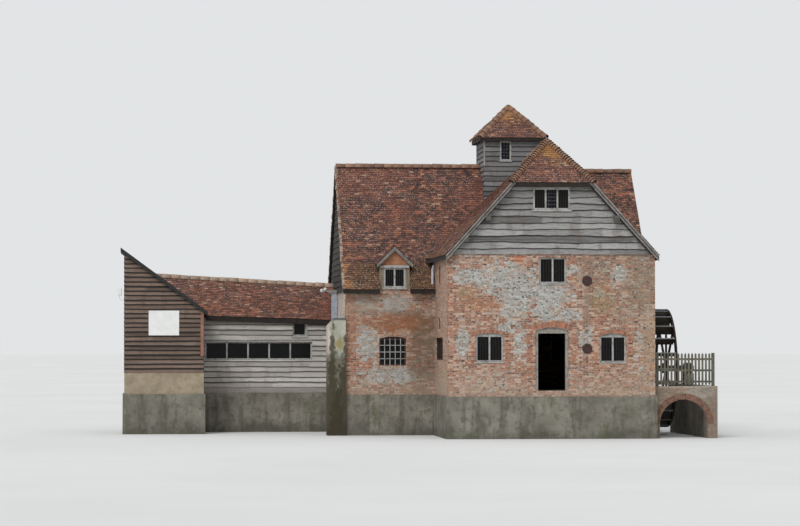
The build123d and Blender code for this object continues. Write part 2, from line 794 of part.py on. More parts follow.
# Barge boards follow both slopes of each wing gable and of the dormer
def barge(mid, half, ridge, pitch, top, ys, deep):
    """Boards on a verge face, up to a level cut."""
    with BuildPart(mode=Mode.PRIVATE) as board:
        along_y(roof_points(mid, half, ridge, pitch, 0, ridge - half * pitch - deep), ys)
        along_y(roof_points(mid, half, ridge, pitch, deep, 0), ys, Mode.SUBTRACT)
        block((mid - half, mid + half), ys, (0, top), Mode.INTERSECT)
    return board.part


with BuildPart() as barge_boards:
    front_shape = (wing_mid, wing_half, wing_ridge_z, wing_pitch)
    back_shape = (wing_mid, back_half, back_ridge_z, back_pitch)
    add(barge(*front_shape, half_hip_z, (wing_y[0] - barge_thick, wing_y[0]), barge_deep))
    add(barge(*back_shape, half_hip_z, (wing_y[1], wing_y[1] + barge_thick), barge_deep))
    dormer_front = dormer_front_y[0] - dormer_wall
    ys = (dormer_front - barge_thick, dormer_front)
    add(barge(*dormer_shape, dormer_apex_z, ys, dormer_barge_deep))
finish(barge_boards, "barge_boards")

with BuildPart() as purlin_ends:
    z_mid = wing_eave_z + purlin_share * (half_hip_z - wing_eave_z)
    front_out = (front_board_y[0] - purlin_out, front_board_y[0])
    rear_out = (rear_board_y[1], rear_board_y[1] + purlin_out)
    for (mid, half, ridge, pitch), ys in ((front_shape, front_out), (back_shape, rear_out)):
        reach = (ridge - z_mid) / pitch
        top = z_mid - roof_thick - purlin_w / 2 * pitch
        for x in (mid - reach, mid + reach):
            block((x - purlin_w / 2, x + purlin_w / 2), ys, (top - purlin_h, top))
    for cutter in (barge_boards, wing_roof_front, wing_roof_rear):
        add(cutter.part, mode=Mode.SUBTRACT)
finish(purlin_ends, "purlin_ends")

with BuildPart() as wall_ties:
    for z in tie_levels:
        with BuildSketch(Plane.XZ.offset(-wing_front)) as plate:
            with Locations((tie_x, z)):
                RegularPolygon(tie_radius, disc_sides)
        extrude(plate.sketch, amount=tie_thick)
    for zs in bar_levels:
        block((wing_x[0] - tie_thick, wing_x[0]), (bar_y - bar_w / 2, bar_y + bar_w / 2), zs)
finish(wall_ties, "wall_ties")

with BuildPart() as buttress:
    along_y([
        (buttress_x, 0), (buttress_x, buttress_low),
        (buttress_x + buttress_slope_run, buttress_low + buttress_slope),
        (main_x[0], buttress_low + buttress_slope), (main_x[0], 0),
    ], buttress_y)
    plinth_x = (main_x[0] - plinth_proud, main_x[0])
    block(plinth_x, (main_y[0] - plinth_proud, buttress_y[1]), (0, plinth_top), Mode.SUBTRACT)
finish(buttress, "buttress")

# Waterwheel: two rims, two sets of tapered arms on hubs with bosses, floats between the rims
wheel_sides = (wheel_x[0], wheel_x[1] - rim_thick)
boss_sides = (wheel_x[0] + rim_thick, wheel_x[1] - rim_thick - boss_deep)
with BuildPart() as wheel_rims:
    for x in wheel_sides:
        with BuildSketch(Plane.YZ.offset(x)):
            with Locations((wheel_y, wheel_z)):
                RegularPolygon(wheel_r, rim_segments)
                RegularPolygon(wheel_r - rim_deep, rim_segments, mode=Mode.SUBTRACT)
        extrude(amount=rim_thick)
finish(wheel_rims, "wheel_rims")

arm_end = wheel_r - rim_deep + arm_head
arm_taper = degrees(atan(2 * arm_end / (arm_foot - arm_head)))
with BuildPart() as wheel_arms:
    for x, boss_x in zip(wheel_sides, boss_sides):
        with BuildSketch(Plane.YZ.offset(x)) as spokes:
            with Locations((wheel_y, wheel_z)):
                RegularPolygon(hub_r, disc_sides)
                with PolarLocations(0, arm_count):
                    Trapezoid(arm_foot, arm_end, arm_taper, rotation=-90, align=(Align.CENTER, Align.MIN))
            with Locations((wheel_y, wheel_z)):
                RegularPolygon(wheel_r - rim_deep, rim_segments, mode=Mode.INTERSECT)
                Circle(shaft_r, mode=Mode.SUBTRACT)
        extrude(spokes.sketch, amount=rim_thick)
        with BuildSketch(Plane.YZ.offset(boss_x)) as boss:
            with Locations((wheel_y, wheel_z)):
                RegularPolygon(boss_r, disc_sides)
                Circle(shaft_r, mode=Mode.SUBTRACT)
        extrude(boss.sketch, amount=boss_deep)
finish(wheel_arms, "wheel_arms")

with BuildPart() as wheel_floats:
    with BuildSketch(Plane.YZ.offset(wheel_x[0] + rim_thick)):
        with Locations((wheel_y, wheel_z)):
            with PolarLocations(wheel_r - float_deep, float_count):
                Rectangle(float_deep, float_thick, align=(Align.MIN, Align.CENTER))
    extrude(amount=wheel_x[1] - wheel_x[0] - 2 * rim_thick)
finish(wheel_floats, "wheel_floats")

with BuildPart() as wheel_shaft:
    with BuildSketch(Plane.YZ.offset(shaft_x[0])):
        with Locations((wheel_y, wheel_z)):
            Circle(shaft_r)
    extrude(amount=shaft_x[1] - shaft_x[0])
finish(wheel_shaft, "wheel_shaft")

# Bearings: a flanged ring on the wall and a plummer block on the outer pier
with BuildPart() as bearing_wall:
    with BuildSketch(Plane.YZ.offset(main_x[1])):
        with Locations((wheel_y, wheel_z)):
            RegularPolygon(bearing_r, disc_sides)
            Circle(shaft_r + shaft_gap, mode=Mode.SUBTRACT)
    extrude(amount=bearing_t)
finish(bearing_wall, "bearing_wall")

race_out = race_x[1] + race_wall
with BuildPart() as bearing_pier:
    mid_x = (race_x[1] + race_out) / 2
    xs = (mid_x - bearing_len / 2, mid_x + bearing_len / 2)
    block(xs, (wheel_y - bearing_r, wheel_y + bearing_r), (pier_top, pier_top + bearing_t))
    with BuildSketch(Plane.YZ.offset(xs[0])):
        with Locations((wheel_y, wheel_z)):
            Circle(shaft_r * 2)
            Rectangle(shaft_r * 4, wheel_z - pier_top, align=(Align.CENTER, Align.MAX))
    extrude(amount=bearing_len)
    shaft_hole(xs, shaft_r + shaft_gap)
finish(bearing_pier, "bearing_pier")

# Race: an arched front wall and an outer wall with the pier for the shaft
arch_r = (race_x[1] - race_x[0]) / 2
arch_mid = sum(race_x) / 2
with BuildPart() as race_arch:
    block((wing_x[1] + plinth_proud, race_out), (race_front, race_front + race_wall), (0, race_top))
    block((wing_x[1], wing_x[1] + plinth_proud), (race_front, race_front + race_wall), (plinth_top, race_top))
    with BuildSketch(Plane.XZ.offset(-race_front)):
        with Locations((arch_mid, arch_crown - arch_r)):
            Circle(arch_r)
            Rectangle(2 * arch_r, arch_crown, align=(Align.CENTER, Align.MAX))
    extrude(amount=-race_wall, mode=Mode.SUBTRACT)
finish(race_arch, "race_arch")

with BuildPart() as race_side:
    block((race_x[1], race_out), (race_front + race_wall, race_back), (0, race_top))
    block((race_x[1], race_out), pier_y, (race_top, pier_top))
finish(race_side, "race_side")

# Picket fence on the arch wall
with BuildPart() as race_fence:
    for x in (fence_x[0], fence_x[1] - fence_post):
        block((x, x + fence_post), (fence_y, fence_y + fence_post), (race_top, fence_top))
    back = fence_y + fence_post / 2
    for z in fence_rails:
        block(fence_x, (back - rail_t, back), (z, z + rail_h))
    span = fence_x[1] - fence_x[0] - 2 * fence_post
    gap = (span - picket_count * picket_w) / (picket_count + 1)
    for i in range(picket_count):
        x = fence_x[0] + fence_post + gap + i * (picket_w + gap)
        mid = x + picket_w / 2
        low, shoulder = race_top + picket_foot, fence_top - picket_point
        along_y([
            (x, low), (x, shoulder), (mid, fence_top), (x + picket_w, shoulder), (x + picket_w, low),
        ], (back - rail_t - picket_t, back - rail_t))
finish(race_fence, "race_fence")

# Low range: end outlines joined by a loft, so that the eave falls with the ridge
annex_mid = sum(annex_y) / 2
annex_half = (annex_y[1] - annex_y[0]) / 2 + annex_overhang
annex_roof_x = (annex_x[0] - annex_overhang, annex_x[1])


def annex_loft(drop, foot_drop=None):
    """The low range's volume, its roof lowered by drop."""
    with BuildPart(mode=Mode.PRIVATE) as shape:
        for x, (eave, ridge) in zip(annex_roof_x, annex_ends):
            foot = 0 if foot_drop is None else eave - foot_drop
            with BuildSketch(Plane.YZ.offset(x)):
                with BuildLine():
                    Polyline(
                        (annex_mid - annex_half, foot), (annex_mid - annex_half, eave - drop),
                        (annex_mid, ridge - drop), (annex_mid + annex_half, eave - drop),
                        (annex_mid + annex_half, foot), close=True,
                    )
                make_face()
        loft(ruled=True)
    return shape.part


under_annex = annex_loft(annex_roof_thick)
with BuildPart() as annex_walls:
    block(annex_x, annex_y, (plinth_top, main_ridge_z))
    inside = (annex_x[0] + annex_wall, annex_x[1]), (annex_y[0] + annex_wall, annex_y[1] - annex_wall)
    block(*inside, (plinth_top, main_ridge_z), Mode.SUBTRACT)
    for hole in (annex_small, annex_broad):
        opening(hole, (annex_y[0], annex_y[0] + annex_wall))
    add(under_annex, mode=Mode.INTERSECT)
finish(annex_walls, "annex_walls")

with BuildPart() as annex_floor:
    block(*inside, (plinth_top, terrace))
finish(annex_floor, "annex_floor")

shed_run = shed_x[1] - shed_x[0] + 2 * shed_overhang
shed_fall = (shed_high - shed_low) / shed_run
shed_roof_x = (shed_x[0] - shed_overhang, shed_x[1] + shed_overhang)
with BuildPart() as annex_roof:
    add(annex_loft(0, annex_roof_thick))
    add(under_annex, mode=Mode.SUBTRACT)
    add(gable_left.part, mode=Mode.SUBTRACT)
    block((shed_roof_x[0], shed_roof_x[1]), (shed_y[0], shed_y[1]), (0, shed_high), Mode.SUBTRACT)
finish(annex_roof, "annex_roof")

# Shed with a single slope falling to the right
with BuildPart() as shed_walls:
    points = [
        (shed_x[0], plinth_top), (shed_x[0], shed_high - shed_roof_thick - shed_overhang * shed_fall),
        (shed_x[1], shed_low - shed_roof_thick + shed_overhang * shed_fall), (shed_x[1], plinth_top),
    ]
    along_y(points, shed_y)
    inside = (shed_x[0] + shed_wall, shed_x[1] - shed_wall), (shed_y[0] + shed_wall, shed_y[1] - shed_wall)
    block(*inside, (plinth_top, shed_high), Mode.SUBTRACT)
finish(shed_walls, "shed_walls")

with BuildPart() as shed_roof:
    points = [
        (shed_roof_x[0], shed_high - shed_roof_thick), (shed_roof_x[0], shed_high),
        (shed_roof_x[1], shed_low), (shed_roof_x[1], shed_low - shed_roof_thick),
    ]
    along_y(points, (shed_y[0] - shed_overhang, shed_y[1]))
finish(shed_roof, "shed_roof")

with BuildPart() as sign_board:
    block(sign[:2], (shed_y[0] - sign_thick, shed_y[0]), sign[2:])
finish(sign_board, "sign_board")
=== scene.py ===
import math

import bpy
import numpy as np
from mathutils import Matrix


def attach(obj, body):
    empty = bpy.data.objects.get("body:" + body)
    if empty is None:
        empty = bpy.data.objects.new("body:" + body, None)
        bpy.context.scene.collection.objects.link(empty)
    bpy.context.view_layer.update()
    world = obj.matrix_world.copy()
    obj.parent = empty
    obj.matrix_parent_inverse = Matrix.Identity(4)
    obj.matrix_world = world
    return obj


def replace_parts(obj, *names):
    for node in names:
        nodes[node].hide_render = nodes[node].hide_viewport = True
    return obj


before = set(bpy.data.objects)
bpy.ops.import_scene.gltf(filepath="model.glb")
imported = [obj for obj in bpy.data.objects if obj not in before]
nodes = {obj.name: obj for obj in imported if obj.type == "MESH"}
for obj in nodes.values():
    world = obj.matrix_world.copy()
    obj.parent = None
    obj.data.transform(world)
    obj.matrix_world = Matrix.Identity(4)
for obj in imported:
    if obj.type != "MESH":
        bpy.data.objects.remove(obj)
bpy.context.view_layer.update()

# FOUNDATION AND BUTTRESS
# Old masonry under a grey render that has stained, cracked and gone green near the water.
# It is one skin over brick and rubble, so the solids keep their shape and take this finish.


class Wire:
    """A node socket that does sums: each operator adds the Math node that works it out."""

    def __init__(self, finish, socket):
        self.finish, self.socket = finish, socket

    def sum(self, operation, a, b=0.0):
        """The result of one Math node on two values or wires."""
        sockets = {"Value": a, "Value_001": b}
        return self.finish.node("ShaderNodeMath", {"operation": operation}, sockets)["Value"]

    def __add__(self, other):
        return self.sum("ADD", self, other)

    def __sub__(self, other):
        return self.sum("SUBTRACT", self, other)

    def __rsub__(self, other):
        return self.sum("SUBTRACT", other, self)

    def __mul__(self, other):
        return self.sum("MULTIPLY", self, other)

    def __mod__(self, other):
        return self.sum("MODULO", self, other)

    def __abs__(self):
        return self.sum("ABSOLUTE", self)

    __radd__ = __add__
    __rmul__ = __mul__


class Finish:
    """One material: a Principled surface, its colour so far and the nodes that feed it."""

    def __init__(self, name):
        self.material = bpy.data.materials.new(name)
        self.material.use_nodes = True
        self.tree = self.material.node_tree
        self.surface = self.tree.nodes["Principled BSDF"]
        self.place = self.node("ShaderNodeTexCoord")["Object"]

    def feed(self, node, key, value):
        """Links a wire to the node's socket of that identifier, or sets the socket to a value."""
        socket = next(s for s in node.inputs if s.identifier == key)
        if isinstance(value, Wire):
            self.tree.links.new(value.socket, socket)
        else:
            socket.default_value = value

    def node(self, kind, settings=None, sockets=None):
        """Adds a node, sets its properties, then its sockets, and gives its outputs by name."""
        made = self.tree.nodes.new(kind)
        for key, value in (settings or {}).items():
            setattr(made, key, value)
        for key, value in (sockets or {}).items():
            self.feed(made, key, value)
        return {s.identifier: Wire(self, s) for s in made.outputs}

    def mix(self, share, low, high):
        """Low at share 0 and high at 1, each a wire or a paint on the 0 to 255 scale of a screen."""
        low, high = (c if isinstance(c, Wire) else shade(*c) for c in (low, high))
        sockets = {"Factor_Float": share, "A_Color": low, "B_Color": high}
        return self.node("ShaderNodeMix", {"data_type": "RGBA"}, sockets)["Result_Color"]

    def ground(self, share, low, high):
        """Starts the colour as a mix of two paints."""
        self.colour = self.mix(share, low, high)

    def coat(self, share, paint):
        """Lays a paint over that share of the colour so far."""
        self.colour = self.mix(share, self.colour, paint)

    def step(self, value, low, high):
        """0 below low, 1 above high, and a smooth rise between them."""
        sockets = {"Value": value, "From Min": low, "From Max": high}
        return self.node("ShaderNodeMapRange", {"interpolation_type": "SMOOTHSTEP"}, sockets)["Result"]

    def cloud(self, scale, stretch=(1, 1, 1), shift=0.0, detail=6.0, rough=0.65):
        """Noise of that many lumps a metre, spread from 0 to 1; a small stretch draws it out."""
        sockets = {"Vector": self.place, "Scale": stretch, "Location": (shift, shift * 1.7, shift * 0.6)}
        place = self.node("ShaderNodeMapping", None, sockets)["Vector"]
        sockets = {"Vector": place, "Scale": scale, "Detail": detail, "Roughness": rough}
        return self.step(self.node("ShaderNodeTexNoise", None, sockets)["Fac"], 0.28, 0.72)

    def axes(self):
        """The place on the object as three numbers, in metres."""
        parts = self.node("ShaderNodeSeparateXYZ", None, {"Vector": self.place})
        return parts["X"], parts["Y"], parts["Z"]

    def away(self, place, centre, halves):
        """Distance from a centre in half widths along each axis; a half width of 0 leaves its axis out."""
        scale = tuple(1 / h if h else 0 for h in halves)
        back = tuple(-c * s for c, s in zip(centre, scale))
        sockets = {"Vector": place, "Vector_001": scale, "Vector_002": back}
        moved = self.node("ShaderNodeVectorMath", {"operation": "MULTIPLY_ADD"}, sockets)["Vector"]
        return self.node("ShaderNodeVectorMath", {"operation": "LENGTH"}, {"Vector": moved})["Value"]

    def attribute(self, name):
        """The number that each point of the piece carries under that name."""
        return self.node("ShaderNodeAttribute", {"attribute_name": name})["Fac"]

    def lay(self, roughness, height, depth, strength=1.0):
        """Puts the colour, a roughness and a bump of that depth in metres on the surface."""
        sockets = {"Height": height, "Distance": depth, "Strength": strength}
        bump = self.node("ShaderNodeBump", None, sockets)["Normal"]
        for key, value in (("Base Color", self.colour), ("Roughness", roughness), ("Normal", bump)):
            self.feed(self.surface, key, value)
        return self.material


def shade(*paint):
    """A paint from the 0 to 255 scale of a screen, made linear by the usual curve of power 2.4."""
    return (*(c / 255 / 12.92 if c < 10 else ((c / 255 + 0.055) / 1.055) ** 2.4 for c in paint), 1.0)


def dress(names, material):
    """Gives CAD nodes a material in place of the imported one."""
    for name in names:
        mesh = nodes[name].data
        mesh.materials.clear()
        mesh.materials.append(material)


TERRACE = 1.7  # the doorstep's height over the foot of the foundation

render = Finish("old_render")
x, y, z = render.axes()
broad, streak = render.cloud(0.9, shift=3), render.cloud(3.0, (1, 1, 0.16), shift=8)
grit, patchy = render.cloud(60, shift=1), render.cloud(5, shift=6, detail=9)
wet = 1 - render.step(z + broad * 0.3, 0.15, 0.75)
green = render.step(render.cloud(1.6, (1, 1, 0.5), shift=5) + wet * 0.3, 0.7, 1.0)
render.ground(broad, (104, 100, 90), (142, 138, 126))
render.coat(render.step(patchy, 0.6, 0.8) * 0.5, (88, 82, 70))
render.coat(render.step(streak, 0.5, 0.9) * 0.5, (74, 70, 60))
render.coat(green * 0.55, (84, 88, 58))
render.coat(wet * 0.5, (54, 52, 42))
height = grit * 0.25 + patchy * 0.6 + broad
dress(("plinth", "race_side"), render.lay(0.92 - wet * 0.25, height, 0.02))

pier = Finish("mossy_render")
x, y, z = pier.axes()
broad, patchy = pier.cloud(1.8, shift=3), pier.cloud(6, (1, 1, 0.5), shift=8, detail=9)
ragged = (patchy - 0.5) * 0.3 + (pier.cloud(14, (1, 1, 0.4), shift=21) - 0.5) * 0.12
left_stain = pier.step((4.05 - z) * 0.13 - abs(x + 3.8) + ragged, -0.05, 0.1)
right_stain = pier.step((3.65 - z) * 0.2 - abs(x + 3.3) + ragged, -0.05, 0.1)
foot = 1 - pier.step(z + ragged, 2.75, 3.15)
patch = 1 - pier.step(abs(x + 3.52) * 2.2 + abs(z - 3.36) + ragged, 0.1, 0.5)
pier.ground(broad, (156, 154, 138), (184, 184, 174))
pier.coat(1 - pier.step(x + ragged * 0.4, -3.93, -3.84), (202, 188, 176))
pier.coat(pier.step(z, 4.2, 4.26), (92, 94, 98))
pier.coat(pier.step(patchy, 0.6, 0.85) * 0.35, (122, 116, 94))
pier.coat(patch * 0.8, (142, 130, 66))
pier.coat(foot * 0.75, (76, 68, 44))
pier.coat(left_stain * 0.85, (56, 52, 34))
pier.coat(right_stain * 0.85, (56, 50, 34))
dress(("buttress",), pier.lay(0.92, patchy + broad, 0.02))

# BRICK WALLS
# Soft orange-red brick laid in lime, with courses of 75 mm, patched many times over.
# Worn limewash clings in blotches, mostly high on the cross wing, and many faces have spalled.

BRICK_LONG, COURSE, MORTAR = 0.2, 0.075, 0.009


def brickwork(name, clay, wash, limed=(), bare=(), marks=(), spalls=0.5):
    """Brick in running bond on X+Y and Z, each brick with its own random numbers.

    clay is its darkest and lightest colour and wash how much limewash is left everywhere. Ovals
    (across, height, half width, half height) add to the wash, or take from it, and a mark is such
    an oval with a colour and a strength.
    """
    brick = Finish(name)
    x, y, z = brick.axes()
    run, course = x + y, z + brick.cloud(0.35, shift=11, detail=1) * 0.05
    wall = brick.node("ShaderNodeCombineXYZ", None, {"X": run, "Y": course})["Vector"]
    black, white = (0, 0, 0, 1), (1, 1, 1, 1)
    bond = {"Vector": wall, "Color1": black, "Color2": white, "Mortar": black, "Scale": 1.0, "Mortar Smooth": 0.3,
            "Bias": 0.0, "Brick Width": BRICK_LONG, "Row Height": COURSE}
    kind = ("ShaderNodeTexBrick", {"offset": 0.5, "squash": 0.55, "squash_frequency": 2})
    joint = brick.node(*kind, {**bond, "Mortar Size": MORTAR})["Fac"]
    lot = brick.node(*kind, {**bond, "Mortar Size": 0.0})["Color"]
    second, third, fourth = lot * 41.3 % 1.0, lot * 97.1 % 1.0, lot * 173.7 % 1.0
    broad, patchy = brick.cloud(0.6, shift=2), brick.cloud(2.3, (1, 1, 1.5), shift=6, detail=9, rough=0.72)
    fine, grit = brick.cloud(9, (1, 1, 2.2), shift=4, detail=6, rough=0.75), brick.cloud(60, shift=9)
    ragged = (patchy - 0.5) * 0.95 + (fine - 0.5) * 0.5

    def oval(across, up, wide, high):
        """1 inside an oval on the wall and 0 outside it, with a ragged edge between them."""
        return 1 - brick.step(brick.away(wall, (across, up, 0), (wide, high, 0)) + ragged, 0.5, 1.4)

    brick.ground(lot, *clay)
    brick.coat(brick.step(second, 0.68, 0.74) * 0.75, (208, 174, 152))
    brick.coat(brick.step(fourth, 0.86, 0.9) * 0.75, (98, 68, 60))
    brick.coat(joint * 0.9, (174, 162, 144))
    brick.coat(brick.step(fine, 0.6, 0.95) * 0.4, (124, 98, 84))
    brick.coat(broad * 0.3, (160, 134, 116))
    thick = patchy * 0.5 + broad * 0.3 + (third - 0.5) * 0.62 + (fine - 0.5) * 0.5 + (wash - 0.42)
    for place in limed:
        thick = thick + oval(*place) * 0.66
    for place in bare:
        thick = thick - oval(*place) * 0.55
    lime = brick.mix(fine * 0.45 + second * 0.55, (126, 122, 116), (200, 199, 193))
    lime = brick.mix(joint * 0.45, lime, (204, 202, 194))
    fleck = brick.step(brick.cloud(13, (1, 1, 1.9), shift=44, detail=3), 0.7, 0.85)
    film = brick.step(thick, 0.12, 0.56)
    brick.coat(film * (0.3 + second * 0.35), (190, 178, 164))
    brick.coat(fleck * (film * 0.55 + 0.25), (216, 206, 192))
    cover = brick.step(thick + joint * 0.12, 0.52, 0.62)
    brick.coat(cover * 0.9, lime)
    for across, up, wide, high, paint, strength in marks:
        brick.coat(oval(across, up, wide, high) * (fine * 0.4 + third * 0.5 + 0.35) * strength, paint)
    dots = brick.cloud(15, (1, 1, 1.5), shift=31, detail=2)
    pit = brick.step(dots + film * 0.06 + (fourth - 0.5) * 0.25, 1.12 - spalls * 0.3, 1.2 - spalls * 0.3)
    brick.coat(pit * 0.8, (70, 56, 50))
    foot = 1 - brick.step(z + patchy * 0.5, TERRACE + 0.1, TERRACE + 0.8)
    brick.coat(foot * 0.4, (172, 156, 138))
    height = joint * -0.7 + fine * 0.5 + grit * 0.2 + cover * 0.3 - pit * 0.9 + second * 0.2
    return brick.lay(0.94 - cover * 0.06, height, 0.014)


wing_limed = (
    (2.2, 5.65, 1.1, 0.65), (2.4, 4.72, 0.65, 0.55), (3.7, 5.1, 0.7, 0.42), (0.67, 5.75, 0.65, 0.34),
    (3.4, 4.42, 0.34, 0.36), (4.5, 6.0, 0.26, 0.24), (6.1, 5.85, 0.34, 0.34), (0.52, 3.42, 0.26, 0.62),
    (2.53, 3.42, 0.3, 0.55), (4.9, 3.5, 0.32, 0.5), (6.8, 3.55, 0.18, 0.3), (4.35, 4.4, 0.5, 0.22),
    (2.03, 3.9, 0.24, 0.22), (5.4, 5.12, 0.26, 0.16),
)
wing_bare = (
    (-0.05, 4.4, 0.34, 2.3), (0.93, 3.3, 0.2, 0.66), (2.12, 3.3, 0.16, 0.5), (3.02, 3.1, 0.22, 1.2),
    (4.47, 3.2, 0.2, 1.1), (5.28, 3.25, 0.2, 0.62), (6.52, 3.2, 0.18, 0.6), (4.75, 6.3, 0.55, 0.16),
    (1.1, 4.72, 0.8, 0.26), (6.0, 6.42, 0.5, 0.1), (4.45, 5.72, 0.18, 0.13), (2.5, 6.42, 0.2, 0.14),
)
wing_marks = (
    (2.5, 6.42, 0.2, 0.13, (188, 100, 60), 0.7), (1.1, 4.75, 0.8, 0.24, (176, 122, 86), 0.45),
    (5.3, 6.0, 0.7, 0.55, (126, 120, 106), 0.55), (5.5, 4.95, 0.5, 0.5, (146, 126, 86), 0.55),
    (6.9, 5.6, 0.75, 0.95, (128, 118, 100), 0.6), (0.6, 5.2, 0.28, 0.22, (156, 130, 94), 0.7),
    (7.15, 3.5, 0.3, 1.3, (166, 146, 120), 0.6), (6.1, 2.1, 1.5, 0.45, (168, 148, 128), 0.35),
    (4.95, 4.55, 0.14, 0.75, (132, 122, 112), 0.5), (1.3, 2.15, 1.1, 0.4, (184, 166, 150), 0.5),
    (6.3, 4.6, 0.9, 0.5, (140, 124, 104), 0.4),
)
clay = ((126, 70, 52), (182, 112, 80))
wing_brick = brickwork("limewashed_brick", clay, 0.16, wing_limed, wing_bare, wing_marks, 0.7)
return_marks = ((2.2, 2.0, 2.6, 0.5, (176, 158, 134), 0.6), (3.9, 4.2, 0.5, 2.4, (134, 118, 102), 0.5))
return_brick = brickwork("return_brick", ((158, 106, 84), (190, 138, 112)), 0.0, marks=return_marks, spalls=0.3)
main_marks = (
    (1.9, 4.85, 0.6, 0.32, (168, 160, 146), 0.85), (3.1, 4.85, 0.5, 0.4, (158, 150, 140), 0.6),
    (3.4, 4.15, 1.1, 0.36, (148, 94, 58), 0.95), (1.4, 4.2, 0.25, 1.3, (170, 120, 90), 0.5),
    (4.1, 3.0, 0.55, 1.5, (104, 92, 74), 0.75), (2.6, 4.55, 1.8, 0.12, (128, 112, 96), 0.5),
)
main_limed = ((2.0, 3.3, 0.5, 0.6), (2.9, 2.2, 1.2, 0.3), (3.0, 4.85, 0.5, 0.3))
main_brick = brickwork("main_brick", clay, 0.14, main_limed, marks=main_marks, spalls=0.6)
pale_brick = brickwork("pale_brick", ((226, 198, 182), (252, 240, 230)), 0.3, spalls=0.5)
plain_brick = brickwork("plain_brick", clay, 0.02)
race_clay, race_limed = ((108, 64, 50), (156, 108, 88)), ((9.4, 1.6, 0.5, 0.3),)
race_marks = (
    (7.9, 0.6, 0.5, 1.3, (84, 74, 60), 0.8), (9.7, 0.6, 0.5, 1.3, (84, 74, 60), 0.8),
    (9.0, 1.2, 3.0, 2.0, (76, 62, 52), 0.5), (9.0, 1.86, 1.6, 0.06, (168, 160, 148), 0.8),
    (8.1, 1.6, 0.5, 0.2, (90, 78, 62), 0.6),
)
race_brick = brickwork("race_brick", race_clay, 0.2, race_limed, marks=race_marks, spalls=0.8)
for names, material in (
    (("wing_front_wall",), wing_brick), (("wing_left_wall",), return_brick), (("main_front_wall",), main_brick),
    (("main_left_wall",), pale_brick), (("wing_right_wall", "main_right_wall", "rear_wall"), plain_brick),
    (("race_arch",), race_brick),
):
    dress(names, material)


def surface(name, points, faces, body, slot, material, smooth=False, **attributes):
    """Makes one piece from an array of points and lists of faces, and rides it on its body."""
    mesh = bpy.data.meshes.new(name)
    mesh.from_pydata(np.asarray(points, float).reshape(-1, 3).tolist(), [], faces)
    for key, values in attributes.items():
        layer = mesh.attributes.new(key, "FLOAT", "POINT")
        layer.data.foreach_set("value", np.asarray(values, np.float32).ravel())
    mesh.polygons.foreach_set("use_smooth", np.full(len(mesh.polygons), smooth))
    mesh.materials.append(material)
    mesh.update()
    piece = bpy.data.objects.new(name, mesh)
    bpy.context.scene.collection.objects.link(piece)
    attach(piece, body)
    return piece


HEXAHEDRON = np.array([[0, 3, 2, 1], [4, 5, 6, 7], [0, 1, 5, 4], [1, 2, 6, 5], [2, 3, 7, 6], [3, 0, 4, 7]])


def block_faces(count):
    """The six outward faces of each of that many blocks of eight points."""
    return HEXAHEDRON[None] + 8 * np.arange(count)[:, None, None]


# Arches over the door, the lower windows and the race: bricks on end, fanned over a curve.
dice = np.random.default_rng(41)
fanned = Finish("arch_brick")
tint, tone, x = fanned.cloud(9, shift=40), fanned.attribute("tone"), fanned.axes()[0]
damp = fanned.mix(tint, (62, 46, 40), (126, 98, 84))
fanned.ground(tone, (118, 80, 66), (182, 118, 88))
fanned.coat(fanned.step(tint, 0.4, 0.8) * 0.5, (150, 136, 120))
fanned.coat(fanned.step(x, 7.4, 7.5) * 0.7, damp)
arch_material = fanned.lay(0.92, fanned.cloud(60) + tint, 0.006)

PROUD, BRICK_DEEP, JOINT_SHARE = 0.006, 0.05, 0.06


def brick_arch(name, centre, half, foot, rise, depth, count, face=0.0):
    """Bricks stand between two arcs of one centre, each turned to its own ray, a little proud of the wall.

    The radius is the sum of the squares of the half width and the rise, over twice the rise.
    """
    radius = (half * half + rise * rise) / (2 * rise)
    middle = foot + rise - radius
    reach = math.asin(half / radius)
    edges = np.linspace(-reach, reach, count + 1)
    gap = JOINT_SHARE * (edges[1] - edges[0])
    angle = np.stack([edges[:-1] + gap, edges[1:] - gap], 1)[:, [0, 1, 1, 0]]
    ring = np.array([radius, radius, radius + depth, radius + depth])
    x, z = centre + ring * np.sin(angle), middle + ring * np.cos(angle)
    front = np.stack([x, np.full_like(x, face - PROUD), z], 2)
    points = np.concatenate([front + (0, BRICK_DEEP, 0), front], 1)
    faces = block_faces(count).reshape(-1, 4)[:, ::-1].tolist()
    tone = np.repeat(dice.uniform(0, 1, count), 8)
    surface(name, points, faces, "building", "brick", arch_material, tone=tone)


brick_arch("door_arch", 3.7, 0.7, 3.815, 0.13, 0.2, 21)
brick_arch("left_window_arch", 1.48, 0.52, 3.668, 0.08, 0.11, 14)
brick_arch("right_window_arch", 5.885, 0.52, 3.648, 0.08, 0.11, 14)
brick_arch("race_arch_ring", 8.485, 0.866, 0.515, 0.866, 0.215, 36, 0.3)

# TILED ROOFS
# Hand-made clay plain tiles, 165 mm wide and laid at 100 mm, on battens over the rafters.
# They have gone from orange to plum and brown, with moss low down and orange lichen on top.

tile = Finish("clay_tiles")
tone, gold, moss, edge = (tile.attribute(a) for a in ("tone", "gold", "moss", "edge"))
broad, mottle, patchy = tile.cloud(0.55, shift=7), tile.cloud(16, shift=13), tile.cloud(2.4, shift=17, detail=9)
zone = tile.cloud(0.3, shift=33, detail=2)
tile.ground(tile.step(tone, 0.0, 0.45), (54, 38, 36), (98, 64, 54))
tile.coat(tile.step(tone, 0.55, 0.95), (154, 98, 74))
tile.coat(broad * 0.45, (76, 58, 60))
tile.coat(tile.step(zone, 0.5, 0.8) * 0.35, (128, 74, 58))
tile.coat(tile.step(mottle, 0.5, 1.0) * 0.5, (86, 64, 52))
tile.coat(tile.step(tone, 0.975, 0.978) * 0.6, (170, 144, 124))
golden = tile.step(gold + (patchy - 0.5) * 0.6 + (tone - 0.5) * 0.3, 0.38, 0.75)
tile.coat(golden * (mottle * 0.55 + 0.35), (172, 122, 60))
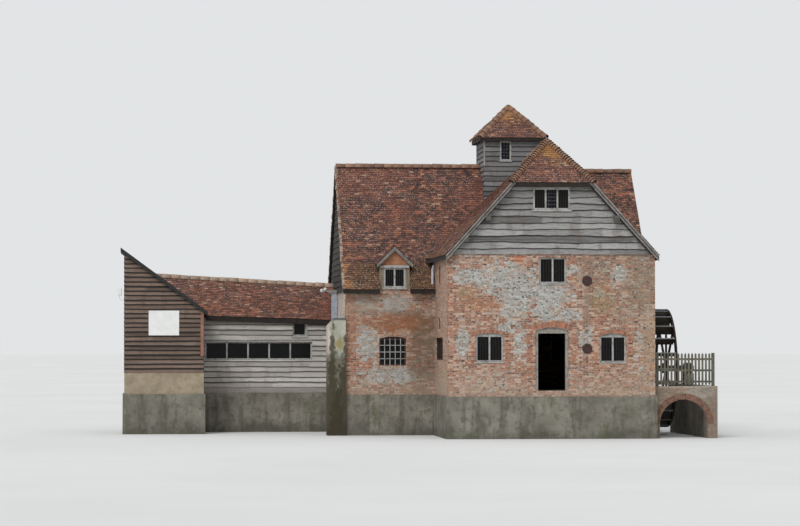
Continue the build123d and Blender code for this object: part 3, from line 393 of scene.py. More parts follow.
mossy = tile.step(moss + (0.5 - patchy) * 0.6 + (tone - 0.5) * 0.3, 0.36, 0.7)
moss_colour = tile.mix(tile.step(mottle, 0.35, 0.65), (44, 32, 24), (116, 84, 44))
tile.coat(mossy * (patchy * 0.3 + 0.5), moss_colour)
speck = tile.step(tile.cloud(20, (1, 1, 1.6), shift=29, detail=2) + (broad + patchy) * 0.14, 0.96, 1.04)
tile.coat(speck * 0.75, (196, 170, 150))
# Painted shade: the edge mark turns the foot of each tile's tail near black, for the shade over the tile below.
tile.coat(edge * 0.8, (34, 27, 24))
tile_material = tile.lay(0.9, tile.cloud(90, shift=3) * 0.5 + mottle, 0.004)

# The roof solids' undersides and eave edges are painted near black for the shade under the eaves.
under = Finish("roof_underside_painted_shade")
under.ground(under.cloud(5, (1, 0.2, 1)), (24, 19, 17), (46, 37, 31))
under_material = under.lay(0.9, under.cloud(40), 0.004)
dress([n for n in nodes if "_roof" in n and n != "shed_roof"], under_material)

TILE_WIDE, TILE_GAP, TILE_HEAD, GAUGE, TILE_LAP = 0.165, 0.005, 0.008, 0.1, 1.3
TILE_LIFT, SLIVER = (0.024, 0.036), 0.02


def tile_slope(start, along, up, limits, bend=None):
    """Wedge-shaped tiles on a slope: each rises from the slope at its head to its tail over the next.

    limits is a table of rows (distance up the slope, left end, right end), and a tile that
    crosses an end is cut to it. bend moves the finished points from the plane to a warped slope.
    A tile has six points: two at the foot of its tail, two at the tail's top and two at its head.
    """
    start, along, up = (np.array(v, float) for v in (start, along, up))
    out = np.cross(along, up)
    limits = np.array(limits, float)
    rows = np.arange(0, limits[-1, 0], GAUGE)
    columns = np.arange(limits[:, 1].min() - TILE_WIDE, limits[:, 2].max() + TILE_WIDE, TILE_WIDE)
    v, u = np.meshgrid(rows, columns, indexing="ij")
    u = u + (np.arange(len(rows)) % 2)[:, None] * TILE_WIDE / 2 + dice.normal(0, 0.003, u.shape)
    v = v + dice.normal(0, 0.004, v.shape) + 0.012 * np.sin(u * 0.9 + v * 0.7)
    sag = 0.01 * (1 + np.sin(u * 1.3 + 2) * np.sin(v * 1.1 + 0.7))
    lift = dice.uniform(*TILE_LIFT, u.shape)
    tip = dice.normal(0, 0.003, u.shape)
    head = v + TILE_LAP * GAUGE
    cu = np.stack([u, u + TILE_WIDE - TILE_GAP] * 3, -1)
    cv = np.stack([v, v, v, v, head, head], -1)
    ch = np.stack([0 * u, 0 * u, lift + tip, lift - tip] + [0 * u + TILE_HEAD] * 2, -1) + sag[..., None]
    cv = np.clip(cv, 0, limits[-1, 0])
    left, right = (np.interp(cv, limits[:, 0], limits[:, i]) for i in (1, 2))
    cu = np.minimum(np.maximum(cu, left), right)
    keep = (cu[..., 1] - cu[..., 0] > SLIVER) | (cu[..., 5] - cu[..., 4] > SLIVER)
    cu, cv, ch = cu[keep], cv[keep], ch[keep]
    points = start + cu[..., None] * along + cv[..., None] * up + ch[..., None] * out
    if bend is not None:
        points = bend(points)
    count = len(cu)
    tone = np.repeat(dice.uniform(0, 1, count), 6)
    # edge is painted shade: 1 at the foot of each tile's tail, fading to 0 at the top of the tail.
    edge = np.tile([1.0, 1.0, 0, 0, 0, 0], count)
    base = 6 * np.arange(count)[:, None]
    fours = (np.array([[0, 1, 3, 2], [2, 3, 5, 4]])[None] + base[..., None]).reshape(-1, 4)
    threes = (np.array([[0, 2, 4], [1, 5, 3]])[None] + base[..., None]).reshape(-1, 3)
    return points.reshape(-1, 3), (fours, threes), tone, edge


def join(parts):
    """The points, faces, tones and painted edge shade of several parts in one, their point numbers counted on."""
    first = np.cumsum([0] + [len(p[0]) for p in parts[:-1]])
    faces = [f for shift, part in zip(first, parts) for kind in part[1] for f in (kind + shift).tolist()]
    points, tones, edges = (np.concatenate([p[i] for p in parts]) for i in (0, 2, 3))
    return points, faces, tones, edges


def growth(points):
    """Lichen by height and place: golden on tops and hips, mossy by eaves, dormer and valley.

    Each part of it grows in proportion to the distance past a line, up to a limit.
    """
    x, y, z = points.T
    high_roofs = x > -3.5
    hip = 1.05 - np.linalg.norm((points - (3.7, 0.9, 10.6)) / (1.5, 1.7, 1.1), axis=1)
    tower = np.where(z > 11.1, (z - 11.35) * 0.9, 0)
    right = np.where(x > 5, np.clip((x - 7.2) * 0.7, 0, 0.5) * np.clip((z - 9.0) * 1.2, 0, 1), 0)
    left = np.where(x < 2.2, np.clip((z - 9.5) * 0.4, 0, 0.2) + np.clip((-2.9 - x) * 0.9, 0, 0.35), 0)
    low = np.clip((6.9 - z) * 0.25, 0, 0.26)
    gold = np.clip(hip, 0, 1) + np.clip(tower, 0, 1) + (right + left + low) * high_roofs * (z < 10.3)
    gold = gold + 0.12 * (abs(x - 3.7) < 1.5) * (z > 8.9) * (z < 11) * (y < 1.3)
    eave = np.clip((6.7 - z) * 0.6, 0, 0.6) * (x > -3.2) * (x < 0.1)
    dormer = np.clip(0.8 - np.minimum(abs(x + 0.5), abs(x + 2.4)), 0, 0.45) * (z < 6.4)
    wing = np.clip((7.3 - z) * 0.7, 0, 0.5) * (x > -0.4) * (x < 1.0)
    return np.clip(gold, 0, 1), np.clip(np.maximum(eave + dormer, wing), 0, 0.9) * high_roofs


def tiled(name, slopes, fresh=0.0, lichen=1.0):
    """Joins the tiles of several slopes in one piece; fresh shifts them all to the lighter tones."""
    points, faces, tones, edges = join([tile_slope(*s) for s in slopes])
    gold, moss = growth(points)
    # edge carries the painted shade at the foot of each tile's tail.
    marks = {"tone": fresh + (1 - fresh) * tones, "gold": lichen * gold, "moss": moss, "edge": edges}
    surface(name, points, faces, "building", "tile", tile_material, **marks)


# Over the crossing the wing's ridge falls 0.6 m toward the tower and its eaves spread, so its slopes
# are warped; the right half of the main ridge lies lower than the left.
MAIN_MID, MAIN_HALF, MAIN_EAVE, MAIN_VERGE = 8.4, 4.2, 5.35, (-3.4, 8.0)
MAIN_RIDGES = (10.1, 9.95)
MAIN_RISES = [(ridge - MAIN_EAVE) / MAIN_HALF for ridge in MAIN_RIDGES]
WING_MID, WING_HALF, WING_RIDGE, WING_EAVE, HALF_HIP = 3.7, 3.8, 10.69, 6.48, 9.05
WING_WALL_HALF = 3.7
WING_ENDS, BACK_HALF, BACK_RIDGE = (-0.25, 12.55), 4.045, 10.09
TOWER_X, TOWER_Y = (2.17, 4.32), (7.225, 9.575)
TOWER_REACH = (WING_MID - TOWER_X[0], TOWER_X[1] - WING_MID)
WING_RISE, BACK_RISE = (WING_RIDGE - WING_EAVE) / WING_HALF, (BACK_RIDGE - WING_EAVE) / BACK_HALF
FALL = (WING_RIDGE - BACK_RIDGE) / (MAIN_MID - WING_ENDS[0])
wing_slant = math.hypot(1, WING_RISE)


def wing_at(y):
    """The wing's half width and ridge height at a place along it; behind the main ridge they stay."""
    share = np.clip((y - WING_ENDS[0]) / (MAIN_MID - WING_ENDS[0]), 0, 1)
    return WING_HALF + (BACK_HALF - WING_HALF) * share, WING_RIDGE - (WING_RIDGE - BACK_RIDGE) * share


STEPS = 90  # rows in the tables of a slope's ends
main_slopes = []
steps = np.linspace(0, MAIN_HALF, STEPS)
for side in (-1, 1):
    y = MAIN_MID + side * (MAIN_HALF - steps)
    for hand, rise, verge, tower in zip((-1, 1), MAIN_RISES, MAIN_VERGE, TOWER_REACH):
        z, slant = MAIN_EAVE + steps * rise, math.hypot(1, rise)
        half, top = wing_at(y)
        reach = np.where(z < WING_EAVE, WING_WALL_HALF, half * (top - z) / (top - WING_EAVE))
        inner, outer = WING_MID + hand * np.maximum(reach, tower), np.full(STEPS, verge)
        low, high = (outer, inner) if hand < 0 else (inner, outer)
        ends = (low, high) if side < 0 else (-high, -low)
        start, up = (0, MAIN_MID + side * MAIN_HALF, MAIN_EAVE), (0, -side / slant, rise / slant)
        main_slopes.append((start, (-side, 0, 0), up, np.stack([steps * slant, *ends], 1)))

# The dormer stands in the front slope, so the tiles stop at its cheeks below its roof, which meets
# the slope 1.5 m up from the eaves.
DORMER_X, DORMER_BACK, OVERLAP = (-2.05, -0.93), 1.5, 0.09
start, along, up, limits = main_slopes[0]
below = limits[limits[:, 0] <= DORMER_BACK]
above = limits[limits[:, 0] >= DORMER_BACK - OVERLAP]
left_side, right_side, lifted = below.copy(), below.copy(), above.copy()
left_side[:, 2], right_side[:, 1] = DORMER_X[0], DORMER_X[1]
lifted[:, 0] -= above[0, 0]
start_up = np.array(start) + above[0, 0] * np.array(up)
main_slopes[0] = (start, along, up, left_side)
main_slopes += [(start, along, up, right_side), (start_up, along, up, lifted)]
tiled("main_roof_tiles", main_slopes)

wing_slopes = []
share = np.linspace(0, 1, STEPS)
for side, ridge, rise, tower in zip((-1, 1), MAIN_RIDGES, MAIN_RISES, TOWER_REACH):
    level = WING_EAVE + share * (WING_RIDGE - WING_EAVE)
    valley = (level + share * FALL * WING_ENDS[0] - ridge + MAIN_MID * rise) / (rise + share * FALL)
    hip = WING_ENDS[0] + np.maximum(0, level - HALF_HIP) / (WING_RISE + share * FALL)
    front_half = wing_at(TOWER_Y[0])[0]
    front = np.where(share > 1 - tower / front_half, TOWER_Y[0], np.minimum(valley, MAIN_MID))
    back_level = WING_EAVE + share * (BACK_RIDGE - WING_EAVE)
    back_valley = MAIN_MID + np.maximum(0, ridge - back_level) / rise
    back_start = np.where(share > 1 - tower / BACK_HALF, TOWER_Y[1], back_valley)
    back_hip = WING_ENDS[1] - np.maximum(0, back_level - HALF_HIP) / BACK_RISE

    def bend(points, side=side):
        """Spreads the plane's foot outward and drops its top, both in step with the way back."""
        x, y, z = points[..., 0], points[..., 1], points[..., 2]
        back = np.clip((y - WING_ENDS[0]) / (MAIN_MID - WING_ENDS[0]), 0, 1)
        high = (z - WING_EAVE) / (WING_RIDGE - WING_EAVE)
        x = x + side * (1 - high) * (BACK_HALF - WING_HALF) * back
        return np.stack([x, y, z - (WING_RIDGE - BACK_RIDGE) * back * high], -1)

    start, up = (WING_MID + side * WING_HALF, 0, WING_EAVE), (-side / wing_slant, 0, WING_RISE / wing_slant)
    for low, high in ((hip, front), (back_start, back_hip)):
        ends = (low, high) if side > 0 else (-high, -low)
        table = np.stack([share * WING_HALF * wing_slant, *ends], 1)
        wing_slopes.append((start, (0, side, 0), up, table, bend))

FRONT_HIP = ((WING_RIDGE - HALF_HIP) / WING_RISE, (WING_RIDGE - HALF_HIP) / (WING_RISE + FALL))
BACK_HIP = ((BACK_RIDGE - HALF_HIP) / BACK_RISE,) * 2
hip_feet = []
for end, way, (half, run) in ((WING_ENDS[0], 1, FRONT_HIP), (WING_ENDS[1], -1, BACK_HIP)):
    high = wing_at(end + way * run)[1] - HALF_HIP
    slant = math.hypot(run, high)
    up = (0, way * run / slant, high / slant)
    wing_slopes.append(((WING_MID, end, HALF_HIP), (way, 0, 0), up, [[0, -half, half], [slant, 0, 0]]))
    hip_feet.append((end, way, half, run, high))
tiled("wing_roof_tiles", wing_slopes, 0.3)

TOWER_MID, TOWER_HALVES, TOWER_EAVE, TOWER_TOP = (3.245, 8.4), (1.26, 1.36), 11.16, 12.42
tower_slopes = []
for turn in range(4):
    back = np.array([math.sin(turn * math.pi / 2), -math.cos(turn * math.pi / 2), 0])
    side = np.array([-back[1], back[0], 0])
    reach, half = (TOWER_HALVES[1], TOWER_HALVES[0]) if turn % 2 == 0 else TOWER_HALVES
    slant = math.hypot(reach, TOWER_TOP - TOWER_EAVE)
    start = np.array([*TOWER_MID, TOWER_EAVE]) + back * reach
    up = (np.array([0, 0, TOWER_TOP - TOWER_EAVE]) - back * reach) / slant
    tower_slopes.append((start, side, up, [[0, -half, half], [slant, 0, 0]]))
tiled("tower_roof_tiles", tower_slopes, 0.3)

DORMER_MID, DORMER_HALF, DORMER_EAVE, DORMER_TOP, DORMER_FRONT = -1.49, 0.66, 6.28, 6.93, 4.38
dormer_rise = (DORMER_TOP - DORMER_EAVE) / DORMER_HALF
dormer_slant = math.hypot(1, dormer_rise)
dormer_slopes = []
steps = np.linspace(0, DORMER_HALF, 12)
front = np.full_like(steps, DORMER_FRONT)
meet = MAIN_MID - (MAIN_RIDGES[0] - DORMER_EAVE - steps * dormer_rise) / MAIN_RISES[0]
for side in (-1, 1):
    ends = (front, meet) if side > 0 else (-meet, -front)
    start = (DORMER_MID + side * DORMER_HALF, 0, DORMER_EAVE)
    up = (-side / dormer_slant, 0, dormer_rise / dormer_slant)
    dormer_slopes.append((start, (0, side, 0), up, np.stack([steps * dormer_slant, *ends], 1)))
tiled("dormer_roof_tiles", dormer_slopes)

# The low range: its eaves and ridge fall to the right, and the shed covers its first tiles in front.
ANNEX_X, ANNEX_MID, ANNEX_HALF, ANNEX_RISE = (-10.35, -3.3), 10.7, 1.75, 1.42
ANNEX_EAVES, ANNEX_RIDGES = (4.5, 4.25), (5.99, 5.6)
SHED_X, SHED_EDGE = (-11.55, -8.3), 0.2
annex_slant = math.hypot(ANNEX_HALF, ANNEX_RISE)


def annex_bend(points):
    """Lifts level slopes onto the eaves and the ridge, which both fall to the right."""
    x, y, z = points[..., 0], points[..., 1], points[..., 2]
    share = (x - ANNEX_X[0]) / (ANNEX_X[1] - ANNEX_X[0])
    eave, ridge = (ends[0] + (ends[1] - ends[0]) * share for ends in (ANNEX_EAVES, ANNEX_RIDGES))
    return np.stack([x, y, eave + z / ANNEX_RISE * (ridge - eave)], -1)


annex_slopes = []
for side in (-1, 1):
    start, along = (0, ANNEX_MID + side * ANNEX_HALF, 0), (-side, 0, 0)
    up = (0, -side * ANNEX_HALF / annex_slant, ANNEX_RISE / annex_slant)
    low, high = ANNEX_X if side < 0 else (-ANNEX_X[1], -ANNEX_X[0])
    foot = SHED_X[1] if side < 0 else low
    table = [[0, foot, high], [SHED_EDGE, foot, high], [SHED_EDGE + 0.01, low, high], [annex_slant, low, high]]
    annex_slopes.append((start, along, up, table, annex_bend))
tiled("annex_roof_tiles", annex_slopes, 0.35, 0.0)

# Half-round ridge tiles on the ridges, and bonnets lapped down the hips, bedded in lime.
cap = Finish("ridge_tiles")
tone, gold, edge = (cap.attribute(a) for a in ("tone", "gold", "edge"))
mottle, patchy = cap.cloud(16, shift=13), cap.cloud(3, shift=17, detail=9)
cap.ground(tone, (104, 74, 63), (168, 126, 102))
cap.coat(cap.step(mottle, 0.5, 0.9) * 0.5, (170, 150, 128))
cap.coat(cap.attribute("lime") * (mottle * 0.5 + 0.5), (212, 196, 174))
golden = cap.step(gold + (patchy - 0.5) * 0.5, 0.3, 0.6)
cap.coat(golden * (mottle * 0.5 + 0.3), (172, 124, 66))
# Painted shade: dark on each cap's mouth face and at its narrow end under the next cap.
cap.coat(edge * 0.85, (52, 40, 34))
cap_material = cap.lay(0.9, cap.cloud(60, shift=3) * 0.5 + mottle, 0.004)

CAP_THICK, CAP_LAP, CAP_TUCK = 0.022, 1.1, 0.15


def quads(index):
    """The four-sided faces between neighbouring rows and columns of a grid of point numbers."""
    return np.stack([index[..., :-1, :-1], index[..., :-1, 1:], index[..., 1:, 1:], index[..., 1:, :-1]], -1)


def cap_run(start, end, length, wide, narrow, sides):
    """Short open half cones laid end over end along a line, the wide mouth over the next one's back."""
    start, end = np.array(start, float), np.array(end, float)
    whole = np.linalg.norm(end - start)
    line = (end - start) / whole
    side = np.cross(line, [0, 0, 1])
    side = side / np.linalg.norm(side)
    top = np.cross(side, line)
    count = max(1, int(whole / length))
    spacing = whole / count
    angle = np.linspace(-CAP_TUCK, math.pi + CAP_TUCK, sides)
    radius = np.array([wide - CAP_THICK, wide, narrow])
    forward = np.array([0, 0, spacing * CAP_LAP])[:, None, None] * line
    base = start + np.arange(count)[:, None] * spacing * line
    ring = radius[None, :, None] + dice.normal(0, 0.005, (count, 1, 1))
    across, rise = ring * np.cos(angle), ring * np.sin(angle)
    points = base[:, None, None] + forward + across[..., None] * side + rise[..., None] * top
    faces = quads(np.arange(count * 3 * sides).reshape(count, 3, sides))
    tone = np.repeat(dice.uniform(0.2, 1, count), 3 * sides)
    # edge is painted shade: 1 at the inner lip of the mouth, 0 at its outer lip, 0.85 at the narrow end under the
    # next cap.
    edge = np.tile(np.repeat([1.0, 0.0, 0.85], sides), count)
    return points.reshape(-1, 3), (faces.reshape(-1, 4),), tone, edge


def caps(name, runs, lichen=0.45, lime=0.0):
    """Joins several runs of caps in one piece, with so much lichen and lime on them."""
    points, faces, tones, edges = join([cap_run(*r) for r in runs])
    # edge carries the painted shade on the mouths and the narrow ends.
    marks = {"tone": tones, "gold": lichen * growth(points)[0], "edge": edges, "lime": np.full(len(points), lime)}
    return surface(name, points, faces, "building", "tile", cap_material, True, **marks)


RIDGE, BONNET, TOWER_HIP = (0.36, 0.135, 0.12, 9), (0.11, 0.14, 0.085, 9), (0.26, 0.13, 0.105, 9)
lift = 0.02
cap_runs = [
    ((MAIN_VERGE[0], MAIN_MID, MAIN_RIDGES[0] + lift), (TOWER_X[0], MAIN_MID, MAIN_RIDGES[0] + lift), *RIDGE),
    ((MAIN_VERGE[1], MAIN_MID, MAIN_RIDGES[1] + lift), (TOWER_X[1], MAIN_MID, MAIN_RIDGES[1] + lift), *RIDGE),
]
for (end, way, half, run, high), face in zip(hip_feet, TOWER_Y):
    apex = (WING_MID, end + way * run, HALF_HIP + high + lift)
    cap_runs.append((apex, (WING_MID, face, wing_at(face)[1] + lift), *RIDGE))
    cap_runs += [((WING_MID + side * half, end, HALF_HIP + lift), apex, *BONNET) for side in (-1, 1)]
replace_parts(caps("ridge_and_hip_tiles", cap_runs), "ridge_caps")
tower_runs = []
for sx in (-1, 1):
    for sy in (-1, 1):
        foot = (TOWER_MID[0] + sx * TOWER_HALVES[0], TOWER_MID[1] + sy * TOWER_HALVES[1], TOWER_EAVE + lift)
        tower_runs.append((foot, (*TOWER_MID, TOWER_TOP + lift), *TOWER_HIP))
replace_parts(caps("tower_hip_tiles", tower_runs), "tower_caps")
annex_line = [(ANNEX_X[i], ANNEX_MID, ANNEX_RIDGES[i] - lift) for i in (0, 1)]
caps("annex_ridge_tiles", [(*annex_line, *RIDGE)], 0.0, 0.55)

# A lime fillet, broken and patched, beds the tile ends along the left verge of the main roof.
FILLET_STEPS = 160
section = ((-0.03, -0.07), (-0.035, 0.05), (0.055, 0.052), (0.06, 0.03))
share = np.linspace(0, 1, FILLET_STEPS)
level = MAIN_EAVE + share * (MAIN_RIDGES[0] - MAIN_EAVE)
rafter = np.concatenate([
    np.stack([0 * share + MAIN_VERGE[0], MAIN_MID + side * MAIN_HALF * (1 - share), level], 1) for side in (-1, 1)
])
rough = dice.normal(0, 0.006, (2 * FILLET_STEPS, 1)) * (1.5, 0, 1)
points = np.stack([rafter + (out, 0, over) + rough for out, over in section], 1)
index = np.arange(points[..., 0].size).reshape(2, FILLET_STEPS, len(section))
faces = quads(index.swapaxes(1, 2))
faces[1] = faces[1][..., ::-1]
fillet = Finish("verge_mortar")
patchy, fine = fillet.cloud(5, shift=12, detail=9), fillet.cloud(30, shift=15)
fillet.ground(fillet.step(patchy, 0.3, 0.6), (116, 82, 66), (176, 160, 144))
fillet.coat(fine * 0.5, (96, 80, 70))
fillet_material = fillet.lay(0.93, patchy + fine, 0.008)
surface("verge_mortar", points, faces.reshape(-1, 4).tolist(), "building", "brick", fillet_material)

# WEATHERBOARDS
# Sawn elm and oak boards with waney lower edges, nailed to studs, each lapping the one below.
# Left bare, they have weathered to silver grey with brown stains, and a painted dark shadow line runs under each
# lap.


def board_finish(name, pale, dark, stain, stain_share, shadow=(0.15, 0.75)):
    """Grain over each plank's own tone, stains that run down, and a shadow under each lap."""
    board = Finish(name)
    tone, lap_shadow = board.attribute("tone"), board.attribute("lap_shadow")
    grain = board.cloud(9, (0.12, 0.12, 3), shift=3, detail=9, rough=0.75)
    fine = board.cloud(50, (0.05, 0.05, 1), shift=5)
    drip = board.cloud(2.6, (1, 1, 0.4), shift=14)
    board.ground(tone * 0.8 + grain * 0.5 - 0.15, dark, pale)
    board.coat(board.step(grain, 0.62, 0.95) * 0.6, (56, 52, 50))
    board.coat(board.step(fine, 0.55, 0.85) * 0.4, dark)
    board.coat(board.step(drip, 0.55, 0.95) * stain_share, stain)
    # Painted shadow: near black just under the lower edge of the next board.
    board.coat(board.step(lap_shadow, *shadow) * 0.92, (24, 21, 20))
    return board.lay(0.88, grain + fine * 0.4, 0.006)


# Metres from one point to the next, a plank's length, and how many tones one course has.
STATION, PLANK, TONES = 0.12, 2.9, 97


def weatherboards(name, walls, pitch, wave, thick, material):
    """Lapped boards on upright walls: each course is a wedge whose lower edge waves along its length.

    A wall is its start, the directions along it and out of it, its table of rows (height, left
    end, right end) and the holes in it, given as left, right, bottom and top. Each course has four
    lines of points: the back and the front of its lower edge, where the shadow of the next one
    begins, and its top behind that next one.
    """
    points, faces, tones, lap_shadows, first = [], [], [], [], 0
    for start, along, out, limits, holes in walls:
        start, along, out = (np.array(v, float) for v in (start, along, out))
        limits = np.array(limits, float)
        low, high = limits[0, 0], limits[-1, 0]
        rows = np.arange(low, high - 0.02, pitch)
        sides = [e + s for h in holes for e in h[:2] for s in (-5e-4, 5e-4)]
        stations = np.arange(limits[:, 1].min(), limits[:, 2].max() + 0.1, STATION)
        columns = np.unique(np.concatenate([stations, sides]))
        n, m = len(rows), len(columns)
        phase = dice.uniform(0, 6.28, (n + 1, 3))[:, :, None]
        edge = (np.sin(columns * 1.1 + phase[:, 0]) + 0.6 * np.sin(columns * 3.3 + phase[:, 1])
                + 0.35 * np.sin(columns * 11 + phase[:, 2])) * wave
        edge += dice.uniform(-1, 1, (n + 1, 1)) * wave
        bottom = rows[:, None] + edge[:-1] - wave
        bottom[0] = low
        cover = rows[:, None] + pitch + edge[1:] - wave
        shadow = dice.uniform(0.07, 0.115, (n, 1))
        heights = np.minimum(np.stack([bottom, bottom, cover - shadow, cover + 0.015], 1), high)
        for left, right, foot, head in holes:
            inside = (columns > left) & (columns < right)
            under_hole = (rows < foot)[:, None, None] & inside
            over_hole = ((rows + pitch > head) & (rows >= foot))[:, None, None] & inside
            heights = np.where(under_hole, np.minimum(heights, foot), heights)
            heights = np.where(over_hole, np.maximum(heights, head), heights)
        proud = np.array([0.002, thick, 0.012, 0.006])[None, :, None] + 0 * heights
        ends = [np.interp(heights, limits[:, 0], limits[:, i]) for i in (1, 2)]
        u = np.minimum(np.maximum(columns + 0 * heights, ends[0]), ends[1])
        made = start + u[..., None] * along + heights[..., None] * np.array([0, 0, 1]) + proud[..., None] * out
        cells = quads(np.arange(n * 4 * m).reshape(n, 4, m) + first)
        keep = (u[:, :-1, 1:] - u[:, :-1, :-1] > 1e-4) | (u[:, 1:, 1:] - u[:, 1:, :-1] > 1e-4)
        tall = np.abs(heights[:, 1:] - heights[:, :-1])
        keep &= (tall[..., 1:] + tall[..., :-1] > 1e-5) | (np.arange(3) == 0)[None, :, None]
        middle = (columns[:-1] + columns[1:]) / 2
        for left, right, foot, head in holes:
            gone = ((rows >= foot) & (rows + pitch <= head))[:, None] & ((middle > left) & (middle < right))[None]
            keep &= ~gone[:, None]
        if np.cross(along, [0, 0, 1]) @ out < 0:
            cells = cells[..., ::-1]
        plank = np.floor(columns / PLANK + np.arange(n)[:, None] * 0.37).astype(int) % TONES
        tone = 0.55 * dice.uniform(0, 1, (n, TONES))[np.arange(n)[:, None], plank]
        tone = tone + 0.45 * dice.uniform(0, 1, (n, 1))
        points.append(made.reshape(-1, 3))
        faces += cells[keep].reshape(-1, 4).tolist()
        tones.append(np.repeat(tone[:, None], 4, 1).ravel())
        # Painted shadow: 0.6 on each board's underside, rising from 0 to 1 just under the next board's edge.
        lap_shadows.append((np.array([0.6, 0, 0, 1.0])[None, :, None] + 0 * heights).ravel())
        first += n * 4 * m
    marks = {"tone": np.concatenate(tones), "lap_shadow": np.concatenate(lap_shadows)}
    surface(name, np.concatenate(points), faces, "building", "boards", material, **marks)


def wall_on_y(y, way, rows, holes=()):
    """A wall along X at that y, whose boards face that way along Y."""
    return (0, y, 0), (1, 0, 0), (0, way, 0), rows, holes


def wall_on_x(x, way, rows, holes=()):
    """A wall along Y at that x, whose boards face that way along X."""
    return (x, 0, 0), (0, 1, 0), (way, 0, 0), rows, holes


silver = board_finish("silver_boards", (184, 182, 180), (76, 73, 71), (94, 80, 70), 0.4)
# The main range's gable ends stand in shade, and their boards are painted dark for it.
shade_painted_silver = board_finish("shade_painted_boards", (62, 55, 50), (32, 29, 27), (42, 34, 29), 0.4)
tower_grey = board_finish("tower_boards", (146, 144, 144), (82, 80, 80), (76, 70, 66), 0.35)
annex_grey = board_finish("annex_boards", (218, 214, 208), (142, 137, 131), (146, 122, 104), 0.35)
# The shed boards take a wider painted shadow under each lap.
shed_brown = board_finish("shed_boards", (146, 124, 110), (66, 54, 47), (92, 60, 46), 0.45, (0.0, 0.45))
dress(("gable_front", "gable_rear"), silver)
dress(("gable_left", "gable_right"), shade_painted_silver)
dress(("tower_walls",), tower_grey)
dress(("annex_walls",), annex_grey)

BOARD_LEVELS, GABLE_WINDOW = np.array([6.53, HALF_HIP - 0.03]), (3.03, 4.35, 8.11, 8.88)
UNDER_TILES = 0.26
gable_boards = []
for face, way, ridge, rise in ((-0.02, -1, WING_RIDGE, WING_RISE), (12.32, 1, BACK_RIDGE, BACK_RISE)):
    halves = (ridge - UNDER_TILES - BOARD_LEVELS) / rise
    rows = np.stack([BOARD_LEVELS, WING_MID - halves, WING_MID + halves], 1)
    gable_boards.append(wall_on_y(face, way, rows, [GABLE_WINDOW]))
weatherboards("gable_boards", gable_boards, 0.228, 0.017, 0.036, silver)

# The main range's gable ends, in the boards painted dark for their shade.
weatherboards("side_gable_boards", [
    wall_on_x(face, way, [[5.3, 4.85, 11.95], [5.72, 4.85, 11.95], [ridge - UNDER_TILES, MAIN_MID, MAIN_MID]])
    for face, way, ridge in zip((-3.32, 7.72), (-1, 1), MAIN_RIDGES)
], 0.22, 0.01, 0.03, shade_painted_silver)

TOWER_WINDOW, TOWER_LEVELS = (2.76, 3.2, 10.31, 11.06), (8.6, 11.13)
tower_rows, tower_side_rows = (
    [[z, low - 0.01, high + 0.01] for z in TOWER_LEVELS] for low, high in (TOWER_X, TOWER_Y)
)
weatherboards("tower_boards_all_round", [
    *[wall_on_y(y, way, tower_rows, [TOWER_WINDOW]) for y, way in zip(TOWER_Y, (-1, 1))],
    *[wall_on_x(x, way, tower_side_rows) for x, way in zip(TOWER_X, (-1, 1))],
], 0.19, 0.007, 0.026, tower_grey)

ANNEX_WINDOWS = ((-5.0, -4.47, 3.66, 4.2), (-8.35, -4.25, 2.75, 3.45))
ANNEX_LEVELS, ANNEX_FACES = (1.72, 4.1), (9.1, 12.3)
weatherboards("annex_boards_all_round", [
    wall_on_y(ANNEX_FACES[0], -1, [[z, -8.45, -3.36] for z in ANNEX_LEVELS], ANNEX_WINDOWS),
    wall_on_y(ANNEX_FACES[1], 1, [[z, -10.2, -3.3] for z in ANNEX_LEVELS]),
    wall_on_x(-10.2, -1, [[1.72, *ANNEX_FACES], [4.3, *ANNEX_FACES], [5.75, ANNEX_MID, ANNEX_MID]]),
], 0.2, 0.009, 0.026, annex_grey)

# The shed's boards stop over a low rendered wall, and at their top they follow the fall of its roof.
SHED_TOPS, SHED_FOOT, SHED_LAP = (6.95, 4.56), 2.3, 0.15
SHED_SIDES, SHED_FACES = (-11.4, -8.45), (6.6, 9.1)
fall = (SHED_TOPS[0] - SHED_TOPS[1]) / (SHED_X[1] - SHED_X[0])
shed_top, shed_low = SHED_TOPS[0] - SHED_LAP * (1 + fall), SHED_TOPS[1] - SHED_LAP * (1 - fall)
shed_front = [[SHED_FOOT, *SHED_SIDES], [shed_low, *SHED_SIDES], [shed_top, SHED_SIDES[0], SHED_SIDES[0]]]
weatherboards("shed_boards_all_round", [
    wall_on_y(SHED_FACES[0], -1, shed_front),
    wall_on_x(SHED_SIDES[0], -1, [[z, *SHED_FACES] for z in (SHED_FOOT, shed_top)]),
    wall_on_x(SHED_SIDES[1], 1, [[z, *SHED_FACES] for z in (SHED_FOOT, shed_low)]),
], 0.17, 0.006, 0.024, shed_brown)
shed_base = Finish("shed_wall")
x, y, z = shed_base.axes()
patchy = shed_base.cloud(3, shift=5, detail=9)
shed_base.ground(patchy, (132, 120, 100), (164, 150, 128))
shed_base.coat(shed_base.step(z, 2.28, 2.32), (74, 66, 60))
dress(("shed_walls",), shed_base.lay(0.92, patchy, 0.008))

# WINDOWS, DOOR FRAME, BARGE BOARDS AND DORMER
# Oak and softwood joinery with a pale grey paint that has flaked and silvered.
# Upright bars stand inside the lights, and lead cames cross the gable's middle one and the tower's.


def timber_finish(name, dark, pale, flaked, share, roughness=0.86):
    """Upright grain between two paints, with flakes of a third over that share."""
    timber = Finish(name)
    grain = timber.cloud(26, (1, 1, 0.12), shift=5, detail=8)
    flake = timber.step(timber.cloud(7, shift=2, detail=9), 0.5, 0.85)
    timber.ground(timber.cloud(2, shift=6) * 0.6 + grain * 0.4, dark, pale)
    timber.coat(flake * share, flaked)
    return timber.lay(roughness, grain - flake * 0.5, 0.003)


